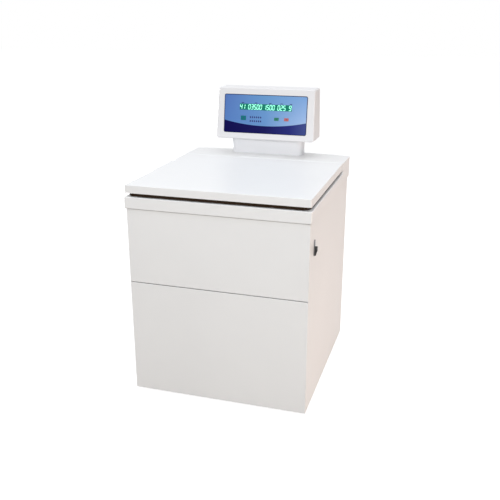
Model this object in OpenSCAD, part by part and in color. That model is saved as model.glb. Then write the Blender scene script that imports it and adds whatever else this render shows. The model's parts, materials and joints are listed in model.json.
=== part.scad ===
// Floor-standing laboratory centrifuge: a painted cabinet with a lidded, cooled chamber,
// a swing-out rotor on a vertical drive, and a control console on the rear deck.
// Millimetres, +Z up, front towards -Y, origin on the floor below the middle of the footprint.

/* [Cabinet] */
// Width across the side panels
cabinet_w = 700; // [670:5:800]
// Depth of the rear deck, from the lid to the rear panel face
deck_d = 154; // [142:1:200]
// Height of the side panels
panel_h = 754; // [720:2:860]
// Height of the lower front panel
lower_panel_h = 460; // [380:5:560]
// Open seam between the two front panels
panel_seam = 3; // [1:0.5:6]
// Open seam between the upper front panel and the rim
rim_seam = 2.5; // [1:0.5:8]
// Panel bottom edge above the floor
floor_clear = 12; // [6:1:20]
// Thickness of the panel sheet
sheet_t = 2; // [1:0.5:3]
// Depth of the folded panel edges
fold_d = 15; // [10:1:20]

/* [Top cover] */
// Overhang of the rim past the panels
rim_over = 6; // [3:1:12]
// Height of the rim
rim_h = 44; // [40:1:70]
// Wall of the top cover
cover_t = 3; // [2:0.5:4]
// Width of the flange under the rim
rim_flange = 46; // [44:1:60]
// How far the rear edge bows out behind the corners
deck_bow = 30; // [15:1:45]

/* [Lid] */
// Dark gap between rim and lid
lid_gap = 14; // [12:1:20]
// Thickness of the lid cover
lid_t = 30.5; // [22:0.5:40]
// Depth of the lid in front of the chamber gasket
lid_front_lap = 65; // [60:1:80]
// Depth of the lid behind the chamber gasket
lid_rear_lap = 22; // [18:1:40]
// Set-back of the lid edge from the rim edge
lid_inset = 3; // [1:0.5:6]
// Sheet thickness of the lid cover
lid_sheet = 1.5; // [1:0.25:2.5]
// Set-back of the dark liner from the rim's sides
liner_inset = 11; // [9:1:40]
// Set-back of the dark liner from the rim's front
liner_front_inset = 8; // [7:1:40]
// Corner radius of the liner
liner_r = 30; // [20:1:40]
// Gap between the liner and the rear edge of the lid
liner_rear_gap = 14; // [10:1:24]
// Height of the liner below the lid cover
liner_h = 11; // [9:0.5:11.5]
// Wall of the liner
liner_t = 3; // [2:0.5:4]
// Lap of the liner under the lid cover
liner_lap = 18; // [15:1:24]

/* [Hinge] */
// Outer radius of the hinge barrel
hinge_r = 3.5; // [3:0.25:5]
// Radius of the hinge pin
hinge_pin_r = 2; // [1.5:0.25:2.5]
// Length of the hinge
hinge_len = 640; // [560:20:650]
// Height of the hinge leaves
leaf_h = 20; // [14:1:21]
// Thickness of the hinge leaves
leaf_t = 1.5; // [1:0.25:1.75]

/* [Console] */
// Width of the neck
neck_w = 324; // [240:2:360]
// Sideways place of the neck's middle
neck_x = -11; // [-25:1:25]
// Depth of the neck
neck_d = 64; // [56:1:90]
// Height of the neck
neck_h = 72.5; // [60:0.5:120]
// Corner radius at the front of the neck
neck_r = 24; // [10:1:27]
// Wall of the neck and the head
head_wall = 4; // [3:0.5:5]
// Width of the head at its lower edge
head_w = 437; // [420:1:520]
// Narrowing of the head at each side of its top
head_taper = 5; // [0:1:12]
// Height of the head along its sloping face
head_h = 219; // [209:1:260]
// Depth of the head at its lower edge
head_d = 130; // [120:1:150]
// Backward slope of the head face in degrees
head_tilt = 7.8; // [4:0.2:10]
// Depth of the bezel part of the head
bezel_d = 32; // [24:1:44]
// Width of the printed panel
window_w = 370; // [362:1:390]
// Sideways place of the printed panel's middle
window_x = -1.5; // [-4:0.5:4]
// Height of the printed panel
window_h = 165; // [160:1:170]
// Lower edge of the printed panel above the head's lower edge
window_v = 26.5; // [22:0.5:29]
// Corner radius of the printed panel
window_r = 8; // [6:1:20]
// Depth of the recess that the printed panel lies in
window_recess = 2; // [1.8:0.1:2.4]
// Width of the ledge that the printed panel is stuck to
window_ledge = 8; // [5:1:12]
// Thickness of the printed panel
overlay_t = 1.5; // [1:0.1:1.6]
// Width of the display
display_w = 232; // [180:2:260]
// Height of the display
display_h = 26; // [20:1:34]
// Sideways place of the display's middle
display_x = 0; // [-20:1:20]
// Height of the display's middle on the head face
display_v = 139; // [127:1:147]
// Width of the set key
set_key_w = 23; // [16:0.5:26]
// Height of the set key
set_key_h = 18; // [12:0.5:20]
// Width of the start and stop keys
run_key_w = 19.5; // [14:0.5:26]
// Height of the start and stop keys
run_key_h = 12; // [9:0.5:20]
// Height of the key row on the head face
key_v = 91; // [73:1:95]
// Sideways places of the set, start and stop keys
key_xs = [-98, 50, 94];
// How far a key stands proud of the printed panel
key_proud = 1.2; // [0.8:0.1:2]
// Travel of a console key
key_travel = 0.6; // [0.4:0.1:0.6]

/* [Chamber and rotor] */
// Inner radius of the chamber bowl
bowl_r = 225; // [210:1:250]
// Sheet thickness of the bowl
bowl_t = 1.5; // [1:0.25:2.5]
// Depth of the bowl below its flange
bowl_depth = 237; // [225:1:270]
// Thickness of the foam round the bowl, with the cooling jacket in it
foam_wall = 50; // [42:1:56]
// Step from the bowl out to the mouth in the top cover
mouth_step = 13; // [10:1:20]
// Width of the gasket's rim round the mouth
gasket_rim = 22; // [12:1:24]
// Radius of the drive shaft
shaft_r = 15; // [12:0.5:18]
// Radius of the shaft where the rotor sits
spigot_r = 12; // [9:0.5:12]
// Distance of the bucket pins from the shaft axis
pin_orbit = 108; // [106:1:112]
// Height of the bucket pins above the bowl floor
pin_rise = 130; // [124:1:140]
// Height of the rotor yoke
yoke_h = 26; // [20:1:34]
// Outer radius of a bucket
bucket_r = 44; // [36:1:46]
// Wall of a bucket
bucket_wall = 4; // [2:0.5:5]
// Bucket length below its pins
bucket_drop = 86; // [70:1:88]
// Bucket length above its pins
bucket_rise = 25; // [18:1:26]
// Radius of the bucket pins
pin_r = 5; // [4:0.25:6]

/* [Drive and cooling] */
// Underside of the shelf above the floor
shelf_z = 464; // [440:2:470]
// Thickness of the shelf
shelf_t = 6; // [4:0.5:10]
// Radius of the motor body
motor_r = 90; // [80:1:100]
// Height of the motor body and its flange
motor_h = 260; // [230:2:300]
// Height of the rubber drive mounts
mount_h = 14; // [8:1:24]
// Radius of the compressor can
can_r = 85; // [70:1:95]
// Height of the compressor can
can_h = 222; // [180:2:240]
// Radius of the condenser fan
fan_r = 118; // [90:1:122]
// Number of fan blades
fan_blades_n = 5; // [3:1:7]
// Diameter of the refrigerant pipes
pipe_d = 10; // [6:0.5:12]

/* [Feet and hand release] */
// Diameter of a foot pad
foot_d = 60; // [40:1:80]
// Height of a foot pad
foot_h = 14; // [8:1:20]
// Diameter of a foot stud
stud_d = 12; // [8:1:16]
// Set-in of the feet from the panel faces
foot_inset = 75; // [60:1:120]
// Top of the base tray above the floor
tray_top = 50; // [46:1:70]
// Height of the tray's turned-down lip
tray_lip = 18; // [12:1:22]
// Hand release of the lid lock behind the front panel face
release_back = 76; // [74:1:140]
// Height of the hand release above the panel's lower edge
release_rise = 643; // [560:1:680]
// Height of the release's plate
release_plate_h = 62; // [40:1:80]
// Width of the release's plate
release_plate_w = 18; // [17:1:24]
// Diameter of the release's body behind the panel
release_body_d = 14; // [12:0.5:15]
// Length of the release's lever
lever_len = 29; // [20:1:50]

/* [Hidden] */
$fn = 64;
// Clearances: parts that only lie beside each other, parts that turn in each other, parts that screw together
side_gap = 0.3;
run_gap = 0.05;
seat_gap = 0.1;

// Cabinet planes
mouth_r = bowl_r + mouth_step;
gasket_r = mouth_r + gasket_rim;
lid_d = lid_front_lap + 2 * gasket_r + lid_rear_lap;
cabinet_d = lid_d + deck_d - rim_over + lid_inset;
front_y = -(cabinet_d + deck_bow) / 2;
rear_y = front_y + cabinet_d;
side_x = cabinet_w / 2;
panel_top = floor_clear + panel_h;
seam_z = floor_clear + lower_panel_h;
rim_top = panel_top + rim_h;
rim_x = side_x + rim_over;
rim_front = front_y - rim_over;
bow_y = rear_y + rim_over + deck_bow;
bow_r = (rim_x * rim_x + deck_bow * deck_bow) / (2 * deck_bow);

// Lid, liner and hinge
lid_bottom = rim_top + lid_gap;
lid_top = lid_bottom + lid_t;
lid_x = rim_x - lid_inset;
lid_front = rim_front + lid_inset;
lid_rear = lid_front + lid_d;
hinge_gap = 0.4;
hinge_y = lid_rear + hinge_gap + hinge_r;
hinge_z = lid_top - hinge_r;
deck_front = hinge_y + hinge_r + hinge_gap;
knuckles = 16;
knuckle_pitch = hinge_len / knuckles;
knuckle_gap = 0.5;
ear_x = hinge_len / 2 + knuckle_gap;
liner_x = rim_x - liner_inset;
liner_front = rim_front + liner_front_inset;
liner_rear = lid_rear - liner_rear_gap;
liner_bottom = lid_bottom - liner_h;

// Chassis
post_w = 30;
post_wall = 2;
post_x = side_x - sheet_t - side_gap;
post_front = front_y + sheet_t + fold_d + 1;
post_rear = rear_y - sheet_t - side_gap;
tray_t = 3;
shelf_top = shelf_z + shelf_t;
shelf_hole_r = shaft_r + 30;

// Chamber
chamber_y = lid_front + lid_front_lap + gasket_r;
foam_r = bowl_r + foam_wall;
flange_top = rim_top - cover_t;
bowl_floor = flange_top - bowl_depth;
bowl_chamfer = 18;
flange_r = bowl_r + 30;
bowl_hole_r = shaft_r + 17;
jacket_in = bowl_r + bowl_t + side_gap;
jacket_t = 1.5;
channel_r = 5;
channels = 7;
jacket_out = jacket_in + jacket_t + channel_r;
jacket_low = bowl_floor + bowl_chamfer + 12;
jacket_high = flange_top - bowl_t - 30;
cavity_r = jacket_out + side_gap;
seal_h = 8;

// Rotor
pin_z = bowl_floor + pin_rise;
yoke_low = pin_z - yoke_h / 2;
yoke_high = pin_z + yoke_h / 2;
boss_len = 10;
boss_r = pin_r + 6;
boss_gap = 2;
pin_grip = 14;
yoke_face = bucket_r + boss_len + boss_gap;
hub_r = spigot_r + 28;
nut_r = spigot_r + 11;
nut_h = 34;
nut_flutes = 8;

// Motor
motor_top = shelf_z - mount_h;
motor_low = motor_top - motor_h;
motor_flange_r = motor_r + 35;
motor_flange_t = 12;
motor_wall = 6;
bearing_r = shaft_r + 11;
bearing_h = 15;
bearing_skin = 9;
mount_orbit = motor_r + 18;
mount_r = 13;

// Cooling
compressor_side = 150;
compressor_back = 166;
compressor_x = -side_x + compressor_side;
compressor_y = rear_y - compressor_back;
rubber_h = 14;
can_low = tray_top + rubber_h + 4;
can_top = can_low + can_h;
coil_h = 320;
coil_x = [10, side_x - 50];
coil_z = [tray_top, tray_top + coil_h];
coil_rear = post_rear - post_w - 3;
coil_d = 40;
coil_front = coil_rear - coil_d;
shroud_d = 30;
shroud_front = coil_front - shroud_d;
fan_x = (coil_x[0] + coil_x[1]) / 2;
fan_z = (coil_z[0] + coil_z[1]) / 2;
bar_t = 4;
fan_shaft_r = 4;
fan_motor_r = 40;
fan_motor_d = 55;

// Drive inverter
inverter_w = 150;
inverter_d = 110;
inverter_h = 230;
inverter_x = [-side_x + 30, -side_x + 30 + inverter_w];
inverter_front = post_front + post_w + 20;
inverter_y = [inverter_front, inverter_front + inverter_d];
inverter_fins = 7;
inverter_fin_d = 25;

// Lid lock
striker_back = 36;
striker_y = front_y + striker_back;
striker_neck_r = 5;
striker_head_r = 11;
striker_head_h = 6;
striker_hole_r = 17;
lock_floor = panel_top + cover_t;
housing_h = 12;
claw_z = lock_floor + housing_h + side_gap;
claw_t = 4;
striker_low = claw_z - 1.3 - striker_head_h;
claw_x = 45;
claw_y = front_y + 30;
claw_post_r = 5;
claw_room = 3;
claw_rest = 24;

// Console
head_z = lid_top + neck_h;
head_top = head_z + head_h * cos(head_tilt);
head_rear = rear_y + 12;
head_front = head_rear - head_d;
neck_rear = head_rear;
neck_front = neck_rear - neck_d;
neck_hole_r = 24;
board_t = 2;
key_sizes = [[set_key_w, set_key_h], [run_key_w, run_key_h], [run_key_w, run_key_h]];
key_flange = 2;
key_flange_t = 1;
key_room = seat_gap + key_flange_t + key_travel + side_gap;
face_t = window_recess + key_room;
overlay_w = window_recess - overlay_t;

// Hand release, mains inlet and screws
release_y = front_y + release_back;
release_z = floor_clear + release_rise;
release_plate_t = 3;
release_body_len = 34;
lever_shank_r = 4;
lever_hub_r = 6;
lever_hub_d = 9;
lever_t = 8;
inlet_x = -side_x + 90;
inlet_z = 150;
inlet_r = 6;
inlet_body_r = 11;
screw_r = 2;
screw_head_r = 4;
screw_head_h = 2.6;
rear_screw_x = side_x - 15;
rear_screws = 5;
rear_screw_zs = [for (i = [0:rear_screws - 1]) floor_clear + 80 + i * (panel_h - 110) / (rear_screws - 1)];
head_screw_x = head_w / 2 - 40;
head_screw_zs = [head_z + 30, head_top - 30];

CABINET_WHITE = [0.92, 0.92, 0.93];
STEEL = [0.72, 0.73, 0.75];
DARK_STEEL = [0.32, 0.33, 0.35];
RUBBER = [0.1, 0.1, 0.1];
COPPER = [0.72, 0.45, 0.3];
FOAM = [0.93, 0.88, 0.72];
ALUMINIUM = [0.8, 0.81, 0.82];

// A block between two X, two Y and two Z planes
module span(x, y, z) {
    translate([x[0], y[0], z[0]])
        cube([x[1] - x[0], y[1] - y[0], z[1] - z[0]]);
}

// A rod along +X, +Y or +Z between two planes
module rod_x(r, x, y, z) {
    translate([x[0], y, z])
        rotate([0, 90, 0])
            cylinder(r = r, h = x[1] - x[0]);
}
module rod_y(r, x, y, z) {
    translate([x, y[0], z])
        rotate([-90, 0, 0])
            cylinder(r = r, h = y[1] - y[0]);
}
module rod_z(r, x, y, z) {
    translate([x, y, z[0]])
        cylinder(r = r, h = z[1] - z[0]);
}

// A plate with round corners between two X, two Y and two Z planes
module rounded_plate(x, y, z, r) {
    span([x[0] + r, x[1] - r], y, z);
    span(x, [y[0] + r, y[1] - r], z);
    for (corner_x = [x[0] + r, x[1] - r], corner_y = [y[0] + r, y[1] - r])
        rod_z(r, corner_x, corner_y, z);
}

// A ring on the chamber axis
module axis_ring(r_in, r_out, z) {
    translate([0, chamber_y, 0])
        difference() {
            rod_z(r_out, 0, 0, z);
            rod_z(r_in, 0, 0, [z[0] - 1, z[1] + 1]);
        }
}

// Both sides of the middle plane
module both_sides() {
    children();
    mirror([1, 0, 0])
        children();
}

// Base: folded plate with its lip turned down, on four levelling feet
module at_feet() {
    for (x = [-1, 1], y = [front_y + foot_inset, rear_y - foot_inset])
        translate([x * (side_x - foot_inset), y, 0])
            children();
}

module base_tray() {
    color(DARK_STEEL)
        difference() {
            span([-post_x, post_x], [post_front, post_rear], [tray_top - tray_lip, tray_top]);
            span([-post_x + tray_t, post_x - tray_t], [post_front + tray_t, post_rear - tray_t],
                 [tray_top - tray_lip - 1, tray_top - tray_t]);
            at_feet()
                cylinder(r = stud_d / 2 + seat_gap, h = tray_top + 1);
        }
}

module levelling_feet() {
    color(RUBBER)
        at_feet()
            union() {
                cylinder(r = foot_d / 2, h = foot_h * 0.6);
                cylinder(r = foot_d * 0.36, h = foot_h);
                cylinder(r = stud_d / 2, h = tray_top);
            }
}

module foot_nuts() {
    nut_across = stud_d * 1.6;
    color(STEEL)
        at_feet()
            translate([0, 0, tray_top - tray_t - stud_d * 0.7])
                difference() {
                    cylinder(r = nut_across / 2 / cos(30), h = stud_d * 0.7, $fn = 6);
                    translate([0, 0, -1])
                        cylinder(r = stud_d / 2 + seat_gap, h = stud_d);
                }
}

// Welded frame: four tube posts joined by rails under the shelf and under the top cover
module post(x, y) {
    difference() {
        span([x, x + post_w], [y, y + post_w], [tray_top, panel_top]);
        span([x + post_wall, x + post_w - post_wall], [y + post_wall, y + post_w - post_wall],
             [tray_top - 1, panel_top + 1]);
    }
}

module chassis_frame() {
    rail_t = 4;
    color(DARK_STEEL) {
        both_sides() {
            post(post_x - post_w, post_front);
            post(post_x - post_w, post_rear - post_w);
            for (top = [shelf_z, panel_top])
                span([post_x - rail_t, post_x], [post_front + post_w - 1, post_rear - post_w + 1],
                     [top - post_w, top]);
            span([post_x - post_w, post_x], [post_front + post_w - 1, post_rear - post_w + 1],
                 [shelf_z - rail_t, shelf_z]);
        }
        span([-post_x + post_w - 1, post_x - post_w + 1], [post_rear - rail_t, post_rear],
             [panel_top - post_w, panel_top]);
    }
}

module shelf() {
    color(STEEL)
        difference() {
            span([-post_x, post_x], [post_front + post_w + 1, post_rear - post_w - 1], [shelf_z, shelf_top]);
            rod_z(shelf_hole_r, 0, chamber_y, [shelf_z - 1, shelf_top + 1]);
            for (y = [suction_riser_y, liquid_riser_y])
                rod_z(pipe_d / 2 + 1, 0, y, [shelf_z - 1, shelf_top + 1]);
        }
}

// Front panels: shallow pans with their four edges folded back
module front_panel(z) {
    fold_x = side_x - sheet_t - 0.5;
    color(CABINET_WHITE)
        difference() {
            union() {
                span([-side_x, side_x], [front_y, front_y + sheet_t], z);
                span([-fold_x, fold_x], [front_y, front_y + sheet_t + fold_d], z);
            }
            span([-fold_x + sheet_t, fold_x - sheet_t], [front_y + sheet_t, front_y + sheet_t + fold_d + 1],
                 [z[0] + sheet_t, z[1] - sheet_t]);
        }
}

module front_lower_panel() {
    front_panel([floor_clear, seam_z - panel_seam / 2]);
}

module front_upper_panel() {
    front_panel([seam_z + panel_seam / 2, panel_top - rim_seam]);
}

module side_panel() {
    fold_w = 20;
    span([side_x - sheet_t, side_x], [front_y + sheet_t, rear_y - sheet_t], [floor_clear, panel_top]);
    span([side_x - fold_w, side_x], [front_y + sheet_t + fold_d + 1, rear_y - sheet_t],
         [floor_clear, floor_clear + sheet_t]);
}

module left_side_panel() {
    color(CABINET_WHITE)
        mirror([1, 0, 0])
            side_panel();
}

module right_side_panel() {
    color(CABINET_WHITE)
        difference() {
            side_panel();
            rod_x(release_body_d / 2 + seat_gap, [side_x - sheet_t - 1, side_x + 1], release_y, release_z);
        }
}

// Rear panel: flat sheet with two columns of louvre slots in front of the condenser and the motor bay
module rear_panel() {
    slot_h = 8;
    slot_pitch = 20;
    slot_edge = 15;
    slots = floor((coil_h - 2 * slot_edge) / slot_pitch);
    slot_w = (coil_x[1] - coil_x[0]) / 2 - 1.6 * slot_edge;
    slot_low = coil_z[0] + slot_edge;
    color(CABINET_WHITE)
        difference() {
            span([-side_x, side_x], [rear_y - sheet_t, rear_y], [floor_clear, panel_top]);
            for (x = [coil_x[0] + slot_edge, coil_x[1] - slot_edge - slot_w], i = [0:slots - 1])
                span([x, x + slot_w], [rear_y - sheet_t - 1, rear_y + 1],
                     [slot_low + i * slot_pitch, slot_low + i * slot_pitch + slot_h]);
            rod_y(inlet_body_r + seat_gap, inlet_x, [rear_y - sheet_t - 1, rear_y + 1], inlet_z);
            both_sides()
                for (z = rear_screw_zs)
                    rod_y(screw_r + seat_gap, rear_screw_x, [rear_y - sheet_t - 1, rear_y + 1], z);
        }
}

// Top cover: rim round the chamber mouth that rises to the rear deck, with a bowed rear edge
module top_plan(inset, y_front, z) {
    intersection() {
        span([-rim_x + inset, rim_x - inset], [y_front, bow_y], z);
        rod_z(bow_r - inset, 0, bow_y - bow_r, z, $fn = 256);
    }
}

module top_cover() {
    color(CABINET_WHITE)
        difference() {
            union() {
                top_plan(0, rim_front, [panel_top, rim_top]);
                top_plan(0, deck_front, [panel_top, lid_top]);
            }
            top_plan(cover_t, rim_front + cover_t, [panel_top + cover_t, rim_top - cover_t]);
            top_plan(cover_t, deck_front + cover_t, [panel_top + cover_t, lid_top - cover_t]);
            span([-rim_x + rim_flange, rim_x - rim_flange], [rim_front + rim_flange, rear_y - rim_flange],
                 [panel_top - 1, panel_top + cover_t + 1]);
            rod_z(mouth_r, 0, chamber_y, [flange_top - 1, rim_top + 1]);
            rod_z(striker_hole_r, 0, striker_y, [flange_top - 1, rim_top + 1]);
            rod_z(neck_hole_r, neck_x, (neck_front + neck_rear) / 2, [lid_top - cover_t - 1, lid_top + 1]);
        }
}

// Pan-head screws of the rear panel and the head's rear cover
module rear_screw(y, skin) {
    rotate([-90, 0, 0]) {
        translate([0, 0, y])
            cylinder(r = screw_head_r, h = screw_head_h);
        translate([0, 0, y - skin])
            cylinder(r = screw_r, h = skin + 1);
    }
}

module cover_screws() {
    color(STEEL)
        both_sides() {
            for (z = rear_screw_zs)
                translate([rear_screw_x, 0, z])
                    rear_screw(rear_y, sheet_t);
            for (z = head_screw_zs)
                translate([head_screw_x, 0, z])
                    rear_screw(head_rear, head_wall);
        }
}

// Chamber: drawn steel bowl hung by its flange under the top cover
module chamber_bowl() {
    c = bowl_chamfer;
    t = bowl_t;
    color(STEEL)
        translate([0, chamber_y, 0])
            rotate_extrude($fn = 128)
                polygon([[bowl_hole_r, bowl_floor - t], [bowl_r - c + t / 2, bowl_floor - t],
                         [bowl_r + t, bowl_floor + c - t / 2], [bowl_r + t, flange_top - t],
                         [flange_r, flange_top - t], [flange_r, flange_top], [bowl_r, flange_top],
                         [bowl_r, bowl_floor + c], [bowl_r - c, bowl_floor], [bowl_hole_r, bowl_floor]]);
}

// Cooling jacket: a sleeve on the bowl with half-round refrigerant channels
module evaporator_jacket() {
    pitch = (jacket_high - jacket_low - 2 * channel_r) / (channels - 1);
    color(COPPER)
        translate([0, chamber_y, 0])
            difference() {
                union() {
                    rod_z(jacket_in + jacket_t, 0, 0, [jacket_low, jacket_high]);
                    for (i = [0:channels - 1])
                        translate([0, 0, jacket_low + channel_r + i * pitch])
                            rotate_extrude()
                                translate([jacket_in + jacket_t, 0])
                                    circle(r = channel_r, $fn = 32);
                }
                rod_z(jacket_in, 0, 0, [jacket_low - 1, jacket_high + 1]);
            }
}

module chamber_insulation() {
    color(FOAM)
        difference() {
            rod_z(foam_r, 0, chamber_y, [shelf_top, flange_top - bowl_t]);
            rod_z(cavity_r, 0, chamber_y, [bowl_floor - bowl_t, flange_top]);
            rod_z(bowl_hole_r, 0, chamber_y, [shelf_top - 1, bowl_floor]);
            for (z = [suction_z, liquid_z])
                rod_y(pipe_d / 2 + side_gap, 0, [chamber_y + bowl_r, chamber_y + foam_r + 1], z);
        }
}

// Soft ring that lines the mouth and meets the lid liner
module chamber_gasket() {
    inner = bowl_r + 2;
    high = liner_bottom - side_gap;
    color([0.5, 0.51, 0.52])
        translate([0, chamber_y, 0])
            rotate_extrude($fn = 128)
                polygon([[inner, flange_top], [mouth_r - side_gap, flange_top], [mouth_r - side_gap, rim_top],
                         [gasket_r, rim_top], [gasket_r, high], [inner, high]]);
}

module shaft_seal() {
    color(RUBBER)
        axis_ring(shaft_r + 0.8, bowl_hole_r + 8, [bowl_floor, bowl_floor + seal_h]);
}

// Drive: flanged motor hung from the shelf on rubber mounts
module motor_housing() {
    upper_seat = motor_top - bearing_skin;
    lower_seat = motor_low + bearing_skin;
    color(DARK_STEEL)
        translate([0, chamber_y, 0])
            difference() {
                union() {
                    rod_z(motor_r, 0, 0, [motor_low, motor_top]);
                    rod_z(motor_flange_r, 0, 0, [motor_top - motor_flange_t, motor_top]);
                }
                rod_z(motor_r - motor_wall, 0, 0, [lower_seat + bearing_h, upper_seat - bearing_h]);
                rod_z(bearing_r + run_gap, 0, 0, [lower_seat, upper_seat]);
                rod_z(shaft_r + 2, 0, 0, [lower_seat, motor_top + 1]);
            }
}

module motor_bearings() {
    color(STEEL)
        for (z = [motor_low + bearing_skin, motor_top - bearing_skin - bearing_h])
            axis_ring(shaft_r + run_gap, bearing_r, [z, z + bearing_h]);
}

stator_wall = 29;
stator_in = motor_r - stator_wall;
winding_end = 55;
armature_step = 8;
armature_end = winding_end + armature_step;

module motor_stator() {
    color(COPPER)
        axis_ring(stator_in, motor_r - motor_wall - side_gap,
                  [motor_low + winding_end, motor_top - winding_end]);
}

module motor_armature() {
    color(DARK_STEEL)
        axis_ring(shaft_r + run_gap, stator_in - 1, [motor_low + armature_end, motor_top - armature_end]);
}

module drive_mounts() {
    color(RUBBER)
        translate([0, chamber_y, 0])
            for (a = [45:90:315])
                rotate(a)
                    rod_z(mount_r, mount_orbit, 0, [motor_top, shelf_z]);
}

module drive_shaft() {
    color(STEEL)
        translate([0, chamber_y, 0])
            union() {
                rod_z(shaft_r, 0, 0, [motor_low + bearing_skin + 1, yoke_low]);
                rod_z(spigot_r, 0, 0, [yoke_low - 1, yoke_high + nut_h - 6]);
            }
}

// Rotor: four-arm yoke whose forked ends carry the bucket pins
module rotor_yoke() {
    outer = pin_orbit + boss_r - 2;
    color(ALUMINIUM)
        translate([0, chamber_y, yoke_low])
            difference() {
                union() {
                    cylinder(r = hub_r, h = yoke_h);
                    for (a = [0:90:270])
                        rotate(a)
                            linear_extrude(yoke_h)
                                polygon([[12, -12], [yoke_face, yoke_face - 22], [yoke_face + 12, yoke_face],
                                         [outer, yoke_face], [outer, yoke_face + 16], [yoke_face + 16, outer],
                                         [yoke_face, outer], [yoke_face, yoke_face + 12],
                                         [yoke_face - 22, yoke_face], [-12, 12]]);
                }
                translate([0, 0, -1])
                    cylinder(r = spigot_r + run_gap, h = yoke_h + 2);
                for (a = [0:90:270])
                    rotate(a)
                        both_pins()
                            rod_y(pin_r + run_gap / 2, pin_orbit, [yoke_face - 1, yoke_face + pin_grip],
                                  yoke_h / 2);
            }
}

// The two pins of one bucket place, to either side of it
module both_pins() {
    children();
    mirror([0, 1, 0])
        children();
}

module bucket_pins() {
    color(STEEL)
        translate([0, chamber_y, 0])
            for (a = [0:90:270])
                rotate(a)
                    both_pins()
                        rod_y(pin_r, pin_orbit, [bucket_r + 1.5, yoke_face + pin_grip], pin_z);
}

module rotor_nut() {
    color(DARK_STEEL)
        translate([0, chamber_y, yoke_high])
            difference() {
                cylinder(r = nut_r, h = nut_h);
                translate([0, 0, -1])
                    cylinder(r = spigot_r + run_gap, h = nut_h - 4);
                for (i = [0:nut_flutes - 1])
                    rotate(i * 360 / nut_flutes)
                        translate([nut_r + 2, 0, 6])
                            cylinder(r = 5, h = nut_h);
            }
}

// A round bucket with a flat boss at each side that turns on a pin
module bucket(turn) {
    color(ALUMINIUM)
        translate([0, chamber_y, 0])
            rotate(turn)
                difference() {
                    union() {
                        rod_z(bucket_r, pin_orbit, 0, [pin_z - bucket_drop, pin_z + bucket_rise]);
                        both_pins()
                            rod_y(boss_r, pin_orbit, [0, bucket_r + boss_len], pin_z);
                    }
                    rod_z(bucket_r - bucket_wall, pin_orbit, 0,
                          [pin_z - bucket_drop + bucket_wall, pin_z + bucket_rise + 1]);
                    both_pins()
                        rod_y(pin_r + run_gap, pin_orbit, [bucket_r + 1, bucket_r + boss_len + 1], pin_z);
                }
}

module bucket_right() {
    bucket(0);
}

module bucket_rear() {
    bucket(90);
}

module bucket_left() {
    bucket(180);
}

module bucket_front() {
    bucket(270);
}

// Cooling unit: hermetic compressor, condenser block, shroud and fan
compressor_plate = can_r + 4;

module compressor() {
    c = 24;
    color(RUBBER)
        translate([compressor_x, compressor_y, 0]) {
            rotate_extrude()
                polygon([[0, can_low], [can_r - c, can_low], [can_r, can_low + c], [can_r, can_top - c],
                         [can_r - c, can_top], [0, can_top]]);
            span([-compressor_plate, compressor_plate], [-compressor_plate, compressor_plate],
                 [can_low - 4, can_low + 1]);
        }
}

module compressor_feet() {
    set_out = compressor_plate - 16;
    color([0.2, 0.2, 0.2])
        translate([compressor_x, compressor_y, 0])
            for (x = [-set_out, set_out], y = [-set_out, set_out])
                rod_z(12, x, y, [tray_top, tray_top + rubber_h]);
}

module condenser() {
    fins = 15;
    fin_t = 2;
    pitch = (coil_x[1] - coil_x[0] - fin_t) / (fins - 1);
    tubes = 6;
    tube_pitch = (coil_z[1] - coil_z[0]) / tubes;
    color(ALUMINIUM) {
        for (i = [0:fins - 1])
            span([coil_x[0] + i * pitch, coil_x[0] + i * pitch + fin_t], [coil_front, coil_rear], coil_z);
        for (i = [0:tubes - 1])
            rod_x(5, [coil_x[0] + 1, coil_x[1] - 1], (coil_front + coil_rear) / 2,
                  coil_z[0] + (i + 0.5) * tube_pitch);
    }
}

module fan_shroud() {
    color(DARK_STEEL) {
        difference() {
            span(coil_x, [shroud_front, coil_front], coil_z);
            rod_y(fan_r + 6, fan_x, [shroud_front - 1, coil_front + 1], fan_z);
        }
    }
}

module fan_motor() {
    color(RUBBER)
        difference() {
            union() {
                span(coil_x, [shroud_front - bar_t, shroud_front], [fan_z - 14, fan_z + 14]);
                rod_y(fan_motor_r, fan_x, [shroud_front - bar_t - fan_motor_d, shroud_front], fan_z);
            }
            rod_y(fan_shaft_r + run_gap, fan_x, [shroud_front - bar_t - 40, shroud_front + 1], fan_z);
        }
}

module condenser_fan() {
    fan_hub_r = 30;
    blade_w = 60;
    blade_pitch = 22;
    color(RUBBER)
        translate([fan_x, shroud_front + side_gap, fan_z])
            rotate([-90, 0, 0]) {
                cylinder(r = fan_hub_r, h = shroud_d - 4);
                translate([0, 0, -bar_t - 38])
                    cylinder(r = fan_shaft_r, h = bar_t + 40);
                intersection() {
                    for (i = [0:fan_blades_n - 1])
                        rotate(i * 360 / fan_blades_n)
                            translate([fan_hub_r - 3, 0, shroud_d / 2])
                                rotate([blade_pitch, 0, 0])
                                    translate([0, -blade_w / 2, -1])
                                        cube([fan_r, blade_w, 2]);
                    cylinder(r = fan_r, h = shroud_d - 2);
                }
            }
}

// Pipes between compressor, condenser and jacket, each a run of straight lengths and round elbows
riser_gap = 20;
liquid_riser_y = chamber_y + foam_r + riser_gap;
suction_riser_y = liquid_riser_y + 4 * pipe_d;
suction_z = jacket_high - 45;
liquid_z = jacket_low + 40;
coil_mid = (coil_front + coil_rear) / 2;
pipe_end_y = chamber_y + jacket_out + side_gap;

module pipe_run(points) {
    for (i = [0:len(points) - 2]) {
        a = points[i];
        b = points[i + 1];
        step = b - a;
        translate(a)
            rotate([0, acos(step.z / norm(step)), atan2(step.y, step.x)])
                cylinder(d = pipe_d, h = norm(step));
        if (i > 0)
            translate(a)
                sphere(d = pipe_d);
    }
}

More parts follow.
